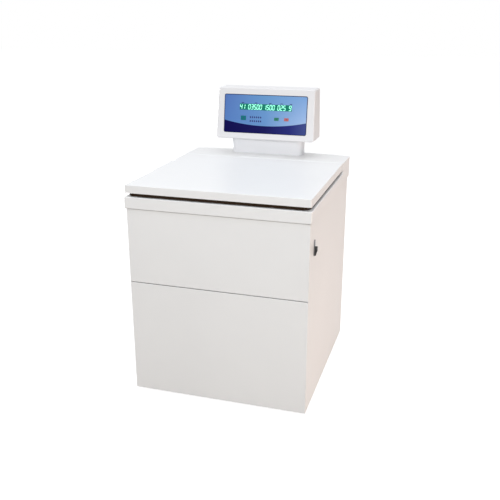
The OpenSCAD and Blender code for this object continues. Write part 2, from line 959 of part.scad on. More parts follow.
module refrigerant_pipes() {
    port_inset = 45;
    discharge_rise = 40;
    suction_rise = 110;
    liquid_rise = 70;
    port = can_r - port_inset;
    discharge_x = compressor_x + port;
    suction_x = compressor_x - port;
    discharge_z = can_top + discharge_rise;
    crossing_z = can_top + suction_rise;
    outlet_z = coil_z[0] + liquid_rise;
    color(COPPER) {
        pipe_run([[discharge_x, compressor_y, can_top], [discharge_x, compressor_y, discharge_z],
                  [discharge_x, coil_mid, discharge_z], [coil_x[0], coil_mid, discharge_z]]);
        pipe_run([[suction_x, compressor_y, can_top], [suction_x, compressor_y, crossing_z],
                  [suction_x, suction_riser_y, crossing_z], [0, suction_riser_y, crossing_z],
                  [0, suction_riser_y, suction_z], [0, pipe_end_y, suction_z]]);
        pipe_run([[coil_x[0], coil_mid, outlet_z], [0, coil_mid, outlet_z], [0, liquid_riser_y, outlet_z],
                  [0, liquid_riser_y, liquid_z], [0, pipe_end_y, liquid_z]]);
    }
}

module drive_inverter() {
    fin_pitch = inverter_d / inverter_fins;
    fin_t = 3;
    box_z = [tray_top, tray_top + inverter_h];
    color(ALUMINIUM) {
        span(inverter_x, inverter_y, box_z);
        for (i = [0:inverter_fins - 1])
            translate([0, inverter_y[0] + (i + 0.5) * fin_pitch, 0])
                span([inverter_x[1] - 1, inverter_x[1] + inverter_fin_d], [-fin_t / 2, fin_t / 2], box_z);
    }
}

// Threaded cable entry in the rear panel
module mains_inlet() {
    color(RUBBER)
        difference() {
            union() {
                rod_y(inlet_body_r, inlet_x, [rear_y - sheet_t - 14, rear_y + 20], inlet_z);
                rod_y(inlet_body_r + 5, inlet_x, [rear_y, rear_y + 7], inlet_z);
                rod_y(inlet_body_r + 5, inlet_x, [rear_y - sheet_t - 6, rear_y - sheet_t], inlet_z);
            }
            rod_y(inlet_r, inlet_x, [rear_y - sheet_t - 15, rear_y + 21], inlet_z);
        }
}

// Lid lock: flat gear motor on the rim flange whose claw turns in over the striker's head
module latch_housing() {
    cap_z = claw_z + claw_t + side_gap;
    color(DARK_STEEL) {
        span([claw_x - 17, claw_x + 33], [front_y + 4, rim_front + rim_flange],
             [lock_floor, lock_floor + housing_h]);
        rod_z(claw_post_r, claw_x, claw_y, [lock_floor, cap_z + 1]);
        rod_z(claw_post_r + 2.5, claw_x, claw_y, [cap_z, cap_z + 2]);
    }
}

module latch_claw() {
    slot_r = striker_neck_r + claw_room;
    reach = claw_x + slot_r + 4;
    set_back = striker_y - claw_y;
    color(STEEL)
        translate([claw_x, claw_y, claw_z])
            rotate(claw_rest)
                difference() {
                    union() {
                        cylinder(r = claw_post_r + 6, h = claw_t);
                        span([-reach, 0], [set_back - slot_r - 6, set_back + 4], [0, claw_t]);
                    }
                    translate([0, 0, -1])
                        cylinder(r = claw_post_r + run_gap, h = claw_t + 2);
                    translate([-claw_x, set_back, -1])
                        cylinder(r = slot_r, h = claw_t + 2);
                    span([-claw_x - slot_r, -claw_x + slot_r], [set_back, set_back + 10], [-1, claw_t + 1]);
                }
}

module lid_striker() {
    color(STEEL) {
        rod_z(striker_neck_r, 0, striker_y, [striker_low, liner_bottom]);
        rod_z(striker_head_r, 0, striker_y, [striker_low, striker_low + striker_head_h]);
    }
}

// Hand release of the lid lock: a long plate on the right side panel with a lever that hangs down
module release_plate() {
    cap_z = release_plate_h / 2 - release_plate_w / 2;
    plate_x = [side_x, side_x + release_plate_t];
    nut_x = [side_x - sheet_t - 6, side_x - sheet_t];
    color(STEEL)
        difference() {
            union() {
                rod_x(release_body_d / 2, [side_x - release_body_len, side_x + 1], release_y, release_z);
                rod_x(release_body_d / 2 + 4, nut_x, release_y, release_z);
                span(plate_x, [release_y - release_plate_w / 2, release_y + release_plate_w / 2],
                     [release_z - cap_z, release_z + cap_z]);
                for (z = [release_z - cap_z, release_z + cap_z])
                    rod_x(release_plate_w / 2, plate_x, release_y, z);
            }
            rod_x(lever_shank_r + run_gap, [side_x - 20, plate_x[1] + 1], release_y, release_z);
        }
}

module release_lever() {
    low_x = side_x + release_plate_t + side_gap;
    high_x = low_x + lever_hub_d;
    color(RUBBER) {
        rod_x(lever_shank_r, [side_x - 19, low_x + 1], release_y, release_z);
        rod_x(lever_hub_r, [low_x, high_x], release_y, release_z);
        translate([0, release_y + lever_t / 2, release_z])
            rotate([90, 0, 0])
                linear_extrude(lever_t)
                    polygon([[low_x, 0], [high_x, 0], [high_x, -lever_len / 3], [low_x + 3, -lever_len],
                             [low_x, -lever_len]]);
    }
}

// Continuous hinge along the rear edge of the lid
module knuckle_row(first, r) {
    for (i = [first:2:knuckles - 1]) {
        x = -hinge_len / 2 + i * knuckle_pitch;
        extra = r > hinge_r ? knuckle_gap / 2 : -knuckle_gap / 2;
        rod_x(r, [x - extra, x + knuckle_pitch + extra], hinge_y, hinge_z);
    }
}

module hinge_leaf(first, y) {
    difference() {
        union() {
            difference() {
                span([-hinge_len / 2, hinge_len / 2], y, [hinge_z - leaf_h, hinge_z]);
                knuckle_row(1 - first, hinge_r + hinge_gap);
            }
            knuckle_row(first, hinge_r);
        }
        rod_x(hinge_pin_r + run_gap, [-hinge_len, hinge_len], hinge_y, hinge_z);
    }
}

module hinge_lid_leaf() {
    color(STEEL)
        hinge_leaf(0, [lid_rear, lid_rear + leaf_t]);
}

module hinge_deck_leaf() {
    color(STEEL)
        hinge_leaf(1, [deck_front - leaf_t, deck_front]);
}

module hinge_pin() {
    color(STEEL)
        rod_x(hinge_pin_r, [-hinge_len / 2, hinge_len / 2], hinge_y, hinge_z);
}

// Lid: painted pan with a turned-in flange, foam filling, and a dark moulded liner screwed under it
module liner_plan(inset, z) {
    rounded_plate([-liner_x + inset, liner_x - inset], [liner_front + inset, liner_rear - inset], z,
                  max(liner_r - inset, 1));
}

module lid_plan(inset, z) {
    span([-lid_x + inset, lid_x - inset], [lid_front + inset, lid_rear - inset], z);
}

module at_lid_screws() {
    edge = liner_lap / 2;
    across = 4;
    along = 3;
    row_x = liner_x - liner_r;
    for (i = [0:across - 1], y = [liner_front + edge, liner_rear - edge])
        translate([row_x * (2 * i / (across - 1) - 1), y, 0])
            children();
    for (x = [-liner_x + edge, liner_x - edge], i = [1:along])
        translate([x, liner_front + i * (liner_rear - liner_front) / (along + 1), 0])
            children();
}

// Ends of the lid beside the hinge, rounded about its pin so that they turn clear of the deck
module lid_ears() {
    both_sides() {
        span([ear_x, lid_x], [lid_rear - lid_sheet, hinge_y + hinge_r], [lid_bottom, hinge_z]);
        span([ear_x, lid_x], [lid_rear - lid_sheet, hinge_y], [lid_bottom, lid_top]);
        rod_x(hinge_r, [ear_x, lid_x], hinge_y, hinge_z);
    }
}

module lid_cover() {
    color(CABINET_WHITE)
        difference() {
            union() {
                lid_plan(0, [lid_bottom, lid_top]);
                lid_ears();
            }
            lid_plan(lid_sheet, [lid_bottom + lid_sheet, lid_top - lid_sheet]);
            liner_plan(liner_lap, [lid_bottom - 1, lid_bottom + lid_sheet + 1]);
            at_lid_screws()
                rod_z(screw_r + seat_gap, 0, 0, [lid_bottom - 1, lid_bottom + lid_sheet + 1]);
        }
}

module lid_insulation() {
    color(FOAM) {
        difference() {
            lid_plan(lid_sheet + side_gap, [lid_bottom + lid_sheet, lid_top - lid_sheet - side_gap]);
            at_lid_screws()
                rod_z(screw_r + 1, 0, 0, [lid_bottom, lid_bottom + lid_sheet + 5]);
        }
        liner_plan(liner_lap + side_gap, [liner_bottom + liner_t, lid_bottom + lid_sheet + 1]);
    }
}

module lid_liner() {
    color([0.12, 0.11, 0.11])
        difference() {
            liner_plan(0, [liner_bottom, lid_bottom]);
            liner_plan(liner_lap, [liner_bottom + liner_t, lid_bottom + 1]);
            at_lid_screws() {
                rod_z(screw_r + seat_gap, 0, 0, [liner_bottom - 1, lid_bottom + 1]);
                rod_z(screw_head_r + seat_gap, 0, 0, [liner_bottom - 1, liner_bottom + screw_head_h]);
            }
        }
}

module lid_screws() {
    color(STEEL)
        at_lid_screws() {
            rod_z(screw_head_r, 0, 0, [liner_bottom, liner_bottom + screw_head_h]);
            rod_z(screw_r, 0, 0, [liner_bottom, lid_bottom + lid_sheet + 2]);
        }
}

// Console neck: short hollow column with rounded front corners
module neck_plan(inset, z) {
    r = neck_r - inset;
    x = neck_w / 2 - inset;
    translate([neck_x, 0, 0])
        both_sides() {
            span([-1, x - r], [neck_front + inset, neck_rear - inset], z);
            span([0, x], [neck_front + inset + r, neck_rear - inset], z);
            rod_z(r, x - r, neck_front + inset + r, z);
        }
}

module console_neck() {
    color(CABINET_WHITE)
        difference() {
            neck_plan(0, [lid_top, head_z]);
            neck_plan(head_wall, [lid_top - 1, head_z + 1]);
        }
}

// Head: side profile with a sloping face, narrowed to the top
module head_block(inset, face_inset) {
    top = head_top - inset;
    low = head_z + inset;
    face = head_front + face_inset / cos(head_tilt);
    half_low = head_w / 2 - inset;
    half_top = half_low - head_taper;
    intersection() {
        translate([-head_w, 0, 0])
            rotate([90, 0, 90])
                linear_extrude(2 * head_w)
                    polygon([[face + inset * tan(head_tilt), low], [head_rear - inset, low],
                             [head_rear - inset, top], [face + (top - head_z) * tan(head_tilt), top]]);
        translate([0, head_rear + 1, 0])
            rotate([90, 0, 0])
                linear_extrude(2 * head_d)
                    polygon([[-half_low, low], [half_low, low], [half_top, top], [-half_top, top]]);
    }
}

// Places a shape on the sloping face: X sideways, Y up the slope, Z out of the face
module on_face() {
    translate([0, head_front, head_z])
        rotate([90 - head_tilt, 0, 0])
            children();
}

module face_half(w) {
    on_face()
        span([-head_w, head_w], [-head_h, 2 * head_h], w);
}

// The printed panel's outline on the face
module face_plate(inset, w) {
    half = window_w / 2 - inset;
    on_face()
        rounded_plate([window_x - half, window_x + half], [window_v + inset, window_v + window_h - inset], w,
                      max(window_r - inset, 1));
}

module key_hole(key, grow, w) {
    x = key_xs[key];
    half_w = key_sizes[key][0] / 2 + grow;
    half_h = key_sizes[key][1] / 2 + grow;
    on_face()
        span([x - half_w, x + half_w], [key_v - half_h, key_v + half_h], w);
}

module display_hole(grow, w) {
    half_w = display_w / 2 + grow;
    half_h = display_h / 2 + grow;
    on_face()
        span([display_x - half_w, display_x + half_w], [display_v - half_h, display_v + half_h], w);
}

module head_bezel() {
    color(CABINET_WHITE)
        difference() {
            intersection() {
                head_block(0, 0);
                face_half([-bezel_d, 1]);
            }
            intersection() {
                head_block(head_wall, face_t);
                face_half([-bezel_d - 1, 1]);
            }
            face_plate(0, [-window_recess, 1]);
            face_plate(window_ledge, [-face_t - 1, 1]);
        }
}

module head_rear_cover() {
    color(CABINET_WHITE)
        difference() {
            intersection() {
                head_block(0, 0);
                face_half([-head_h, -bezel_d]);
            }
            intersection() {
                head_block(head_wall, face_t);
                face_half([-head_h, -bezel_d + 1]);
            }
            rod_z(neck_hole_r, neck_x, (neck_front + neck_rear) / 2, [head_z - 1, head_z + head_wall + 1]);
            both_sides()
                for (z = head_screw_zs)
                    rod_y(screw_r + seat_gap, head_screw_x, [head_rear - head_wall - 1, head_rear + 1], z);
        }
}

module panel_overlay() {
    color([0.35, 0.5, 0.75])
        difference() {
            face_plate(side_gap, [-window_recess, -overlay_w]);
            display_hole(0, [-window_recess - 1, 1]);
            for (key = [0:len(key_xs) - 1])
                key_hole(key, side_gap, [-window_recess - 1, 1]);
        }
}

module display_window() {
    color([0.05, 0.25, 0.12])
        display_hole(-side_gap, [-face_t, -overlay_w]);
}

module console_board() {
    color([0.1, 0.35, 0.15])
        face_plate(window_ledge - 4, [-face_t - board_t, -face_t]);
}

// A flat key with a flange that holds it behind the printed panel
module console_key(key, tint) {
    flange_high = -window_recess - seat_gap;
    color(tint) {
        key_hole(key, 0, [flange_high - key_flange_t, -overlay_w + key_proud]);
        key_hole(key, key_flange, [flange_high - key_flange_t, flange_high]);
    }
}

module set_key() {
    console_key(0, [0.1, 0.55, 0.25]);
}

module start_key() {
    console_key(1, [0.1, 0.55, 0.25]);
}

module stop_key() {
    console_key(2, [0.75, 0.1, 0.1]);
}

base_tray();
chassis_frame();
levelling_feet();
foot_nuts();
shelf();
front_lower_panel();
front_upper_panel();
left_side_panel();
right_side_panel();
rear_panel();
top_cover();
cover_screws();
chamber_bowl();
evaporator_jacket();
chamber_insulation();
chamber_gasket();
shaft_seal();
motor_housing();
motor_stator();
motor_bearings();
drive_mounts();
compressor();
compressor_feet();
condenser();
fan_shroud();
fan_motor();
refrigerant_pipes();
drive_inverter();
mains_inlet();
latch_housing();
release_plate();
hinge_deck_leaf();
hinge_pin();
console_neck();
head_bezel();
head_rear_cover();
panel_overlay();
display_window();
console_board();
lid_cover();
lid_insulation();
lid_liner();
lid_screws();
lid_striker();
hinge_lid_leaf();
drive_shaft();
motor_armature();
rotor_yoke();
bucket_pins();
rotor_nut();
bucket_right();
bucket_rear();
bucket_left();
bucket_front();
latch_claw();
condenser_fan();
set_key();
start_key();
stop_key();
release_lever();
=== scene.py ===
# Floor-standing laboratory centrifuge: a white cabinet, a lidded chamber with a swing-out rotor,
# and a control console on the rear deck.
import json
import math

import bmesh
import bpy
from mathutils import Matrix, Vector


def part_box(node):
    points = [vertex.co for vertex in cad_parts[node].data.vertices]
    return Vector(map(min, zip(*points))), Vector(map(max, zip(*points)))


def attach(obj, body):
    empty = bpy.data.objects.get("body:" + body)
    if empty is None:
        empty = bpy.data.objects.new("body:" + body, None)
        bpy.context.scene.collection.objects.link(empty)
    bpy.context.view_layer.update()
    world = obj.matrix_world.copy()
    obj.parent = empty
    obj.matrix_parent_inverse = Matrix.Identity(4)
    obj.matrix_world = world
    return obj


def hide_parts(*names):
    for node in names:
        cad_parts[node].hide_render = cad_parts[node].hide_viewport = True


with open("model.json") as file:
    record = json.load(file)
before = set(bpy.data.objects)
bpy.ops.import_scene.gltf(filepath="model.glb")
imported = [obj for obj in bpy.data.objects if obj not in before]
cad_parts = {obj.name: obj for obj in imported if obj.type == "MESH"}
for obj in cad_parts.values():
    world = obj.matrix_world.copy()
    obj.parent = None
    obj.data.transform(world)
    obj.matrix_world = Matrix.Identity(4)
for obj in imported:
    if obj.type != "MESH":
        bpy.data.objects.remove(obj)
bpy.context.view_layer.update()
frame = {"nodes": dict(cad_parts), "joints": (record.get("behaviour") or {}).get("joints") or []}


# Camera: at eye height in front of the cabinet and a little to its right,
# about three metres away, with a normal lens.
camera_place = Vector((0.8256, -2.6608, 1.4752))
camera_aim = Vector((0.0246, -0.0440, 0.5221))
camera_data = bpy.data.cameras.new("camera")
camera_data.lens = 50.4
camera_data.sensor_width = 36.0
camera = bpy.data.objects.new("camera", camera_data)
camera.location = camera_place
camera.rotation_euler = (camera_aim - camera_place).to_track_quat("-Z", "Y").to_euler()
bpy.context.scene.collection.objects.link(camera)
bpy.context.scene.camera = camera
bpy.context.scene.view_settings.view_transform = "Standard"


# Studio: a white paper floor under a white sky, one very wide softbox overhead, a small fill high in front,
# and low down a weak warm lamp on the right and a fill behind on the left.
# Paper and sky look white to the eye and to mirrors.
def tint(red, green, blue):
    """A colour given in screen values from 0 to 255, as the linear values that shaders take."""
    def linear(value):
        part = value / 255
        return part / 12.92 if part <= 0.04045 else ((part + 0.055) / 1.055) ** 2.4
    return (linear(red), linear(green), linear(blue), 1.0)


def wire(tree, kind, inputs=None, **settings):
    """Adds a shader node, sets its options, and fills each input with a value or another node's output."""
    node = tree.nodes.new(kind)
    for name, value in settings.items():
        setattr(node, name, value)
    for name, value in (inputs or {}).items():
        if isinstance(value, bpy.types.NodeSocket):
            tree.links.new(value, node.inputs[name])
        else:
            node.inputs[name].default_value = value
    return node


def seen(tree):
    """1 on rays from the camera, off mirrors and through glass, and 0 on the rays that light the object."""
    path = wire(tree, "ShaderNodeLightPath").outputs
    direct = wire(tree, "ShaderNodeMath", {0: path["Is Camera Ray"], 1: path["Is Glossy Ray"]},
                  operation="MAXIMUM").outputs[0]
    return wire(tree, "ShaderNodeMath", {0: direct, 1: path["Is Transmission Ray"]},
                operation="MAXIMUM").outputs[0]


def lamp(name, place, aim, size, power, colour):
    """A square area lamp turned towards a point."""
    data = bpy.data.lights.new(name, "AREA")
    data.size = size
    data.energy = power
    data.color = colour[:3]
    light = bpy.data.objects.new(name, data)
    light.location = place
    light.rotation_euler = (Vector(aim) - Vector(place)).to_track_quat("-Z", "Y").to_euler()
    bpy.context.scene.collection.objects.link(light)


sky = bpy.data.worlds.new("sky")
bpy.context.scene.world = sky
sky.use_nodes = True
sky_tree = sky.node_tree
sky_tree.nodes.clear()
sky_light = wire(sky_tree, "ShaderNodeBackground", {"Color": tint(247, 249, 255), "Strength": 0.3})
sky_white = wire(sky_tree, "ShaderNodeBackground", {"Color": (1, 1, 1, 1), "Strength": 1.0})
sky_mix = wire(sky_tree, "ShaderNodeMixShader",
               {0: seen(sky_tree), 1: sky_light.outputs[0], 2: sky_white.outputs[0]})
wire(sky_tree, "ShaderNodeOutputWorld", {"Surface": sky_mix.outputs[0]})

bpy.ops.object.select_all(action="DESELECT")
bpy.ops.mesh.primitive_plane_add(size=40, location=(0, 0, 0))
floor = bpy.context.object
floor.name = "floor"
paper = bpy.data.materials.new("floor_paper")
paper.use_nodes = True
paper_tree = paper.node_tree
paper_tree.nodes.clear()
paper_bounce = wire(paper_tree, "ShaderNodeBsdfDiffuse", {"Color": tint(188, 177, 165)})
paper_shade = wire(paper_tree, "ShaderNodeBsdfDiffuse", {"Color": tint(170, 170, 170)})
paper_glow = wire(paper_tree, "ShaderNodeEmission", {"Color": (1, 1, 1, 1), "Strength": 0.9})
paper_white = wire(paper_tree, "ShaderNodeAddShader", {0: paper_shade.outputs[0], 1: paper_glow.outputs[0]})
paper_mix = wire(paper_tree, "ShaderNodeMixShader",
                 {0: seen(paper_tree), 1: paper_bounce.outputs[0], 2: paper_white.outputs[0]})
wire(paper_tree, "ShaderNodeOutputMaterial", {"Surface": paper_mix.outputs[0]})
floor.data.materials.append(paper)

lamp("softbox", (0, -0.7, 4.2), (0, -0.2, 0.8), 6.0, 160, tint(249, 251, 255))
lamp("front_fill", (0.7, -3.5, 1.95), (0, 0, 0.6), 0.6, 48, tint(252, 254, 255))
lamp("warm_side", (2.3, -0.1, 0.1), (0, 0, 0.3), 1.2, 22, tint(255, 221, 200))
lamp("back_fill", (-2.2, 3.2, 0.5), (0, 0, 0.5), 0.8, 66, tint(254, 255, 255))


# Levelling feet: moulded rubber pads on zinc-plated studs that screw up through the base,
# each with a hexagon lock nut under the tray.
def select_only(piece):
    """Makes one object the only selected and the active one."""
    bpy.ops.object.select_all(action="DESELECT")
    piece.select_set(True)
    bpy.context.view_layer.objects.active = piece


def pick(piece, kind, test):
    """Opens a piece for editing with only those faces, edges or vertices selected that pass the test."""
    select_only(piece)
    bpy.ops.object.mode_set(mode="EDIT")
    bpy.ops.mesh.select_mode(type=kind)
    bpy.ops.mesh.select_all(action="DESELECT")
    shape = bmesh.from_edit_mesh(piece.data)
    parts = {"FACE": shape.faces, "EDGE": shape.edges, "VERT": shape.verts}[kind]
    for part in [part for part in parts if test(part)]:
        part.select_set(True)
    shape.select_flush_mode()
    bmesh.update_edit_mesh(piece.data)


def done():
    """Closes the piece that is open for editing."""
    bpy.ops.object.mode_set(mode="OBJECT")


def turned(name, profile, centre=(0, 0, 0), steps=64, closed=False):
    """A lathe-turned piece: (radius, height) corners spun round the upright line through the centre."""
    bpy.ops.object.select_all(action="DESELECT")
    bpy.ops.mesh.primitive_plane_add(size=0.01, location=(0, 0, 0))
    piece = bpy.context.object
    piece.name = name
    points = [Vector((radius, 0, height)) + Vector(centre) for radius, height in profile]
    if closed:
        points.append(points[0])
    bpy.ops.object.mode_set(mode="EDIT")
    bpy.ops.mesh.select_mode(type="VERT")
    bpy.ops.mesh.select_all(action="SELECT")
    bpy.ops.mesh.merge(type="CENTER")
    bpy.ops.transform.translate(value=points[0])
    for last, point in zip(points, points[1:]):
        bpy.ops.mesh.extrude_vertices_move(TRANSFORM_OT_translate={"value": point - last})
    bpy.ops.mesh.select_all(action="SELECT")
    bpy.ops.mesh.spin(steps=steps, angle=math.tau, center=centre, axis=(0, 0, 1))
    bpy.ops.mesh.select_all(action="SELECT")
    bpy.ops.mesh.remove_doubles(threshold=0.00002)
    bpy.ops.mesh.normals_make_consistent(inside=False)
    done()
    smooth(piece)
    return piece


def smooth(piece, angle=32):
    """Smooth shading that breaks at edges sharper than the angle and leaves broad faces flat."""
    select_only(piece)
    bpy.ops.object.shade_smooth_by_angle(angle=math.radians(angle))
    even = piece.modifiers.new("even", "WEIGHTED_NORMAL")
    even.weight = 100
    even.keep_sharp = True
    bpy.ops.object.modifier_apply(modifier=even.name)


def stamp(piece, places):
    """Copies a piece to each place and joins the copies into one object at the origin."""
    name = piece.name
    twins = []
    for place in places:
        twin = bpy.data.objects.new(name, piece.data.copy())
        bpy.context.scene.collection.objects.link(twin)
        twin.matrix_world = place
        twins.append(twin)
    bpy.data.objects.remove(piece)
    bpy.ops.object.select_all(action="DESELECT")
    for twin in twins:
        twin.select_set(True)
    bpy.context.view_layer.objects.active = twins[0]
    if len(twins) > 1:
        bpy.ops.object.join()
    bpy.ops.object.transform_apply(location=True, rotation=True, scale=True)
    twins[0].name = name
    return twins[0]


def fit(piece, body, slot, finish, *nodes):
    """Gives a finished piece its material and its body, and lets it stand for its solids."""
    if not piece.data.materials:
        piece.data.materials.append(finish)
    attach(piece, body)
    if nodes:
        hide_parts(*nodes)


def dress(finish, *nodes):
    """Gives solids that show as they are a finish."""
    for node in nodes:
        for place in frame["nodes"][node].material_slots:
            place.material = finish


def finish_base(name, metallic=0.0, specular=0.5):
    """A new material with its shader, and the object's own coordinates to drive its pattern."""
    material = bpy.data.materials.new(name)
    material.use_nodes = True
    tree = material.node_tree
    skin = tree.nodes["Principled BSDF"]
    skin.inputs["Metallic"].default_value = metallic
    skin.inputs["Specular IOR Level"].default_value = specular
    return material, tree, skin, wire(tree, "ShaderNodeTexCoord").outputs["Object"]


def stretch(tree, vector, scale):
    """Coordinates scaled apart along X, Y and Z."""
    return wire(tree, "ShaderNodeMapping", {"Vector": vector, "Scale": scale}).outputs[0]


def cloud(tree, vector, scale, detail=3.0):
    """Soft noise of a given number of lumps to the metre."""
    return wire(tree, "ShaderNodeTexNoise",
                {"Vector": vector, "Scale": scale, "Detail": detail}).outputs["Fac"]


def shades(tree, factor, *stops):
    """A colour ramp: each stop is a place from 0 to 1 and a colour."""
    ramp = wire(tree, "ShaderNodeValToRGB", {"Fac": factor})
    elements = ramp.color_ramp.elements
    while len(elements) < len(stops):
        elements.new(0.5)
    for element, (place, colour) in zip(elements, stops):
        element.position = place
        element.color = colour
    return ramp.outputs["Color"]


def between(tree, value, low, high, start=0.0, end=1.0):
    """A value from start to end, moved to the range from low to high."""
    return wire(tree, "ShaderNodeMapRange", {"Value": value, "From Min": start, "From Max": end,
                                             "To Min": low, "To Max": high}).outputs["Result"]


def relief(tree, skin, height, depth, strength=1.0):
    """Raises a surface's fine grain by a depth in metres."""
    bump = wire(tree, "ShaderNodeBump", {"Height": height, "Distance": depth, "Strength": strength})
    tree.links.new(bump.outputs[0], skin.inputs["Normal"])


def coat(tree, skin, colour, roughness):
    """Gives a surface its patterned colour and roughness."""
    tree.links.new(colour, skin.inputs["Base Color"])
    tree.links.new(roughness, skin.inputs["Roughness"])


def rubber(name, colour):
    """Matt moulded rubber with a fine pitted skin and dusty patches."""
    material, tree, skin, place = finish_base(name, specular=0.3)
    dusty = tuple(1.5 * c + 0.004 for c in colour)
    dust = shades(tree, cloud(tree, place, 60), (0.35, colour), (0.75, dusty))
    coat(tree, skin, dust, between(tree, cloud(tree, place, 300), 0.62, 0.85))
    relief(tree, skin, cloud(tree, place, 2400, 2.0), 0.00006)
    return material


def drawn_steel(name, dark, light, roughness, lines):
    """Bright metal with fine lines left by the tool, as many to the metre as given along X, Y and Z."""
    material, tree, skin, place = finish_base(name, metallic=1.0)
    grain = cloud(tree, stretch(tree, place, lines), 1.0, 4.0)
    coat(tree, skin, shades(tree, grain, (0.25, dark), (0.75, light)),
         between(tree, grain, roughness * 0.8, roughness * 1.3))
    relief(tree, skin, grain, 0.00002)
    return material


black_rubber = rubber("black_rubber", tint(34, 34, 35))
zinc_steel = drawn_steel("zinc_steel", tint(150, 152, 156), tint(196, 198, 202), 0.34, (90, 90, 900))

foot_r = 0.030
hub_r = 0.0226
stud_r = 0.006
stud_chamfer = 0.0005
pad_top = 0.014
feet_low, feet_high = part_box("levelling_feet")
foot = turned("levelling_feet_pads", [
    (0, 0), (foot_r - 0.003, 0), (foot_r, 0.002), (foot_r, 0.0065), (foot_r - 0.0015, 0.0084),
    (hub_r, 0.0098), (hub_r - 0.001, 0.0132), (hub_r - 0.0018, pad_top), (stud_r, pad_top),
    (stud_r, feet_high.z - stud_chamfer), (stud_r - stud_chamfer, feet_high.z), (0, feet_high.z)])
foot.data.materials.append(black_rubber)
foot.data.materials.append(zinc_steel)
for face in foot.data.polygons:
    face.material_index = int(face.center.z > pad_top + 0.0001)
feet = stamp(foot, [Matrix.Translation((x, y, 0)) for x in (feet_low.x + foot_r, feet_high.x - foot_r)
                    for y in (feet_low.y + foot_r, feet_high.y - foot_r)])
fit(feet, "cabinet", "rubber_black", black_rubber, "levelling_feet")
dress(zinc_steel, "foot_nuts")


# Base tray, welded frame and shelf: folded sheet and square tube. Tray and frame are sprayed dark grey
# in one thick coat before the cabinet goes round them, and the shelf is bare steel.
def sprayed_steel(name, colour):
    """Thick dark machine paint with a light orange peel and rubbed patches."""
    material, tree, skin, place = finish_base(name)
    worn = shades(tree, cloud(tree, place, 9), (0.3, colour), (0.8, tuple(1.25 * c for c in colour)))
    coat(tree, skin, worn, between(tree, cloud(tree, place, 40), 0.36, 0.5))
    relief(tree, skin, cloud(tree, place, 420, 2.0), 0.00008)
    return material


frame_paint = sprayed_steel("frame_paint", tint(84, 87, 92))
dress(frame_paint, "base_tray", "chassis_frame")
shelf_steel = drawn_steel("shelf_steel", tint(168, 170, 174), tint(204, 206, 209), 0.38, (12, 700, 700))
dress(shelf_steel, "shelf")


# Drive under the shelf: cast motor body with its wound stator, ball bearings, steel shaft and armature,
# hung on four rubber mounts.
def cast_metal(name, dark, light, metallic, roughness):
    """Cast or blasted metal with an even sandy skin."""
    material, tree, skin, place = finish_base(name, metallic=metallic)
    sand = cloud(tree, place, 900, 3.0)
    coat(tree, skin, shades(tree, sand, (0.3, dark), (0.7, light)),
         between(tree, cloud(tree, place, 90), roughness * 0.85, roughness * 1.2))
    relief(tree, skin, sand, 0.00007)
    return material


def copper_tube(name, dark, light):
    """Drawn copper with brown tarnish in patches."""
    material, tree, skin, place = finish_base(name, metallic=1.0)
    tarnish = cloud(tree, place, 45, 4.0)
    coat(tree, skin, shades(tree, tarnish, (0.35, dark), (0.7, light)), between(tree, tarnish, 0.5, 0.26))
    relief(tree, skin, cloud(tree, place, 800), 0.00002)
    return material


motor_paint = sprayed_steel("motor_paint", tint(70, 74, 80))
core_iron = cast_metal("core_iron", tint(74, 76, 80), tint(104, 106, 110), 0.9, 0.45)
copper = copper_tube("copper", tint(120, 66, 42), tint(196, 128, 92))
shaft_steel = drawn_steel("shaft_steel", tint(172, 174, 178), tint(214, 216, 219), 0.22, (60, 60, 2600))
dress(motor_paint, "motor_housing")
dress(copper, "motor_stator")
dress(core_iron, "motor_armature")
dress(shaft_steel, "drive_shaft", "motor_bearings")
dress(black_rubber, "drive_mounts")


# Cooling unit and drive electronics on the base: enamelled compressor on rubber feet, finned condenser
# with its shroud and fan, copper pipes, and the finned aluminium inverter.
def moulded(name, colour, grain=1800, gloss=0.42, specular=0.5):
    """Moulded plastic or thick enamel with a fine leather-like skin."""
    material, tree, skin, place = finish_base(name, specular=specular)
    paler = tuple(min(1.0, 1.12 * c) for c in colour)
    coat(tree, skin, shades(tree, cloud(tree, place, 14), (0.3, colour), (0.75, paler)),
         between(tree, cloud(tree, place, 120), gloss * 0.9, gloss * 1.15))
    relief(tree, skin, cloud(tree, place, grain, 2.0), 0.00003)
    return material


black_enamel = moulded("black_enamel", tint(26, 27, 29), 500, 0.24)
black_plastic = moulded("black_plastic", tint(26, 26, 27))
fin_aluminium = drawn_steel("fin_aluminium", tint(178, 181, 184), tint(214, 216, 218), 0.36, (900, 30, 30))
dress(black_enamel, "compressor")
dress(black_rubber, "compressor_feet")
dress(fin_aluminium, "condenser", "drive_inverter")
dress(black_plastic, "fan_shroud", "fan_motor", "condenser_fan")
dress(copper, "refrigerant_pipes", "evaporator_jacket")


# Chamber: deep-drawn stainless bowl hung by its flange, in a block of poured foam,
# with a lipped rubber seal where the shaft comes through the floor.
def foam(name, colour):
    """Poured rigid foam with round open cells."""
    material, tree, skin, place = finish_base(name, specular=0.2)
    cells = wire(tree, "ShaderNodeTexVoronoi", {"Vector": place, "Scale": 420.0}).outputs["Distance"]
    coat(tree, skin, shades(tree, cells, (0.1, tuple(0.82 * c for c in colour)), (0.6, colour)),
         between(tree, cells, 0.95, 0.8))
    relief(tree, skin, cells, 0.0006)
    return material


def arc(centre, radius, start, end, steps):
    """Points of a round corner in a profile, with angles in degrees."""
    turns = [math.radians(start + (end - start) * i / steps) for i in range(steps + 1)]
    return [(centre[0] + radius * math.cos(a), centre[1] + radius * math.sin(a)) for a in turns]


cream_foam = foam("cream_foam", tint(236, 222, 178))
dress(cream_foam, "chamber_insulation", "lid_insulation")

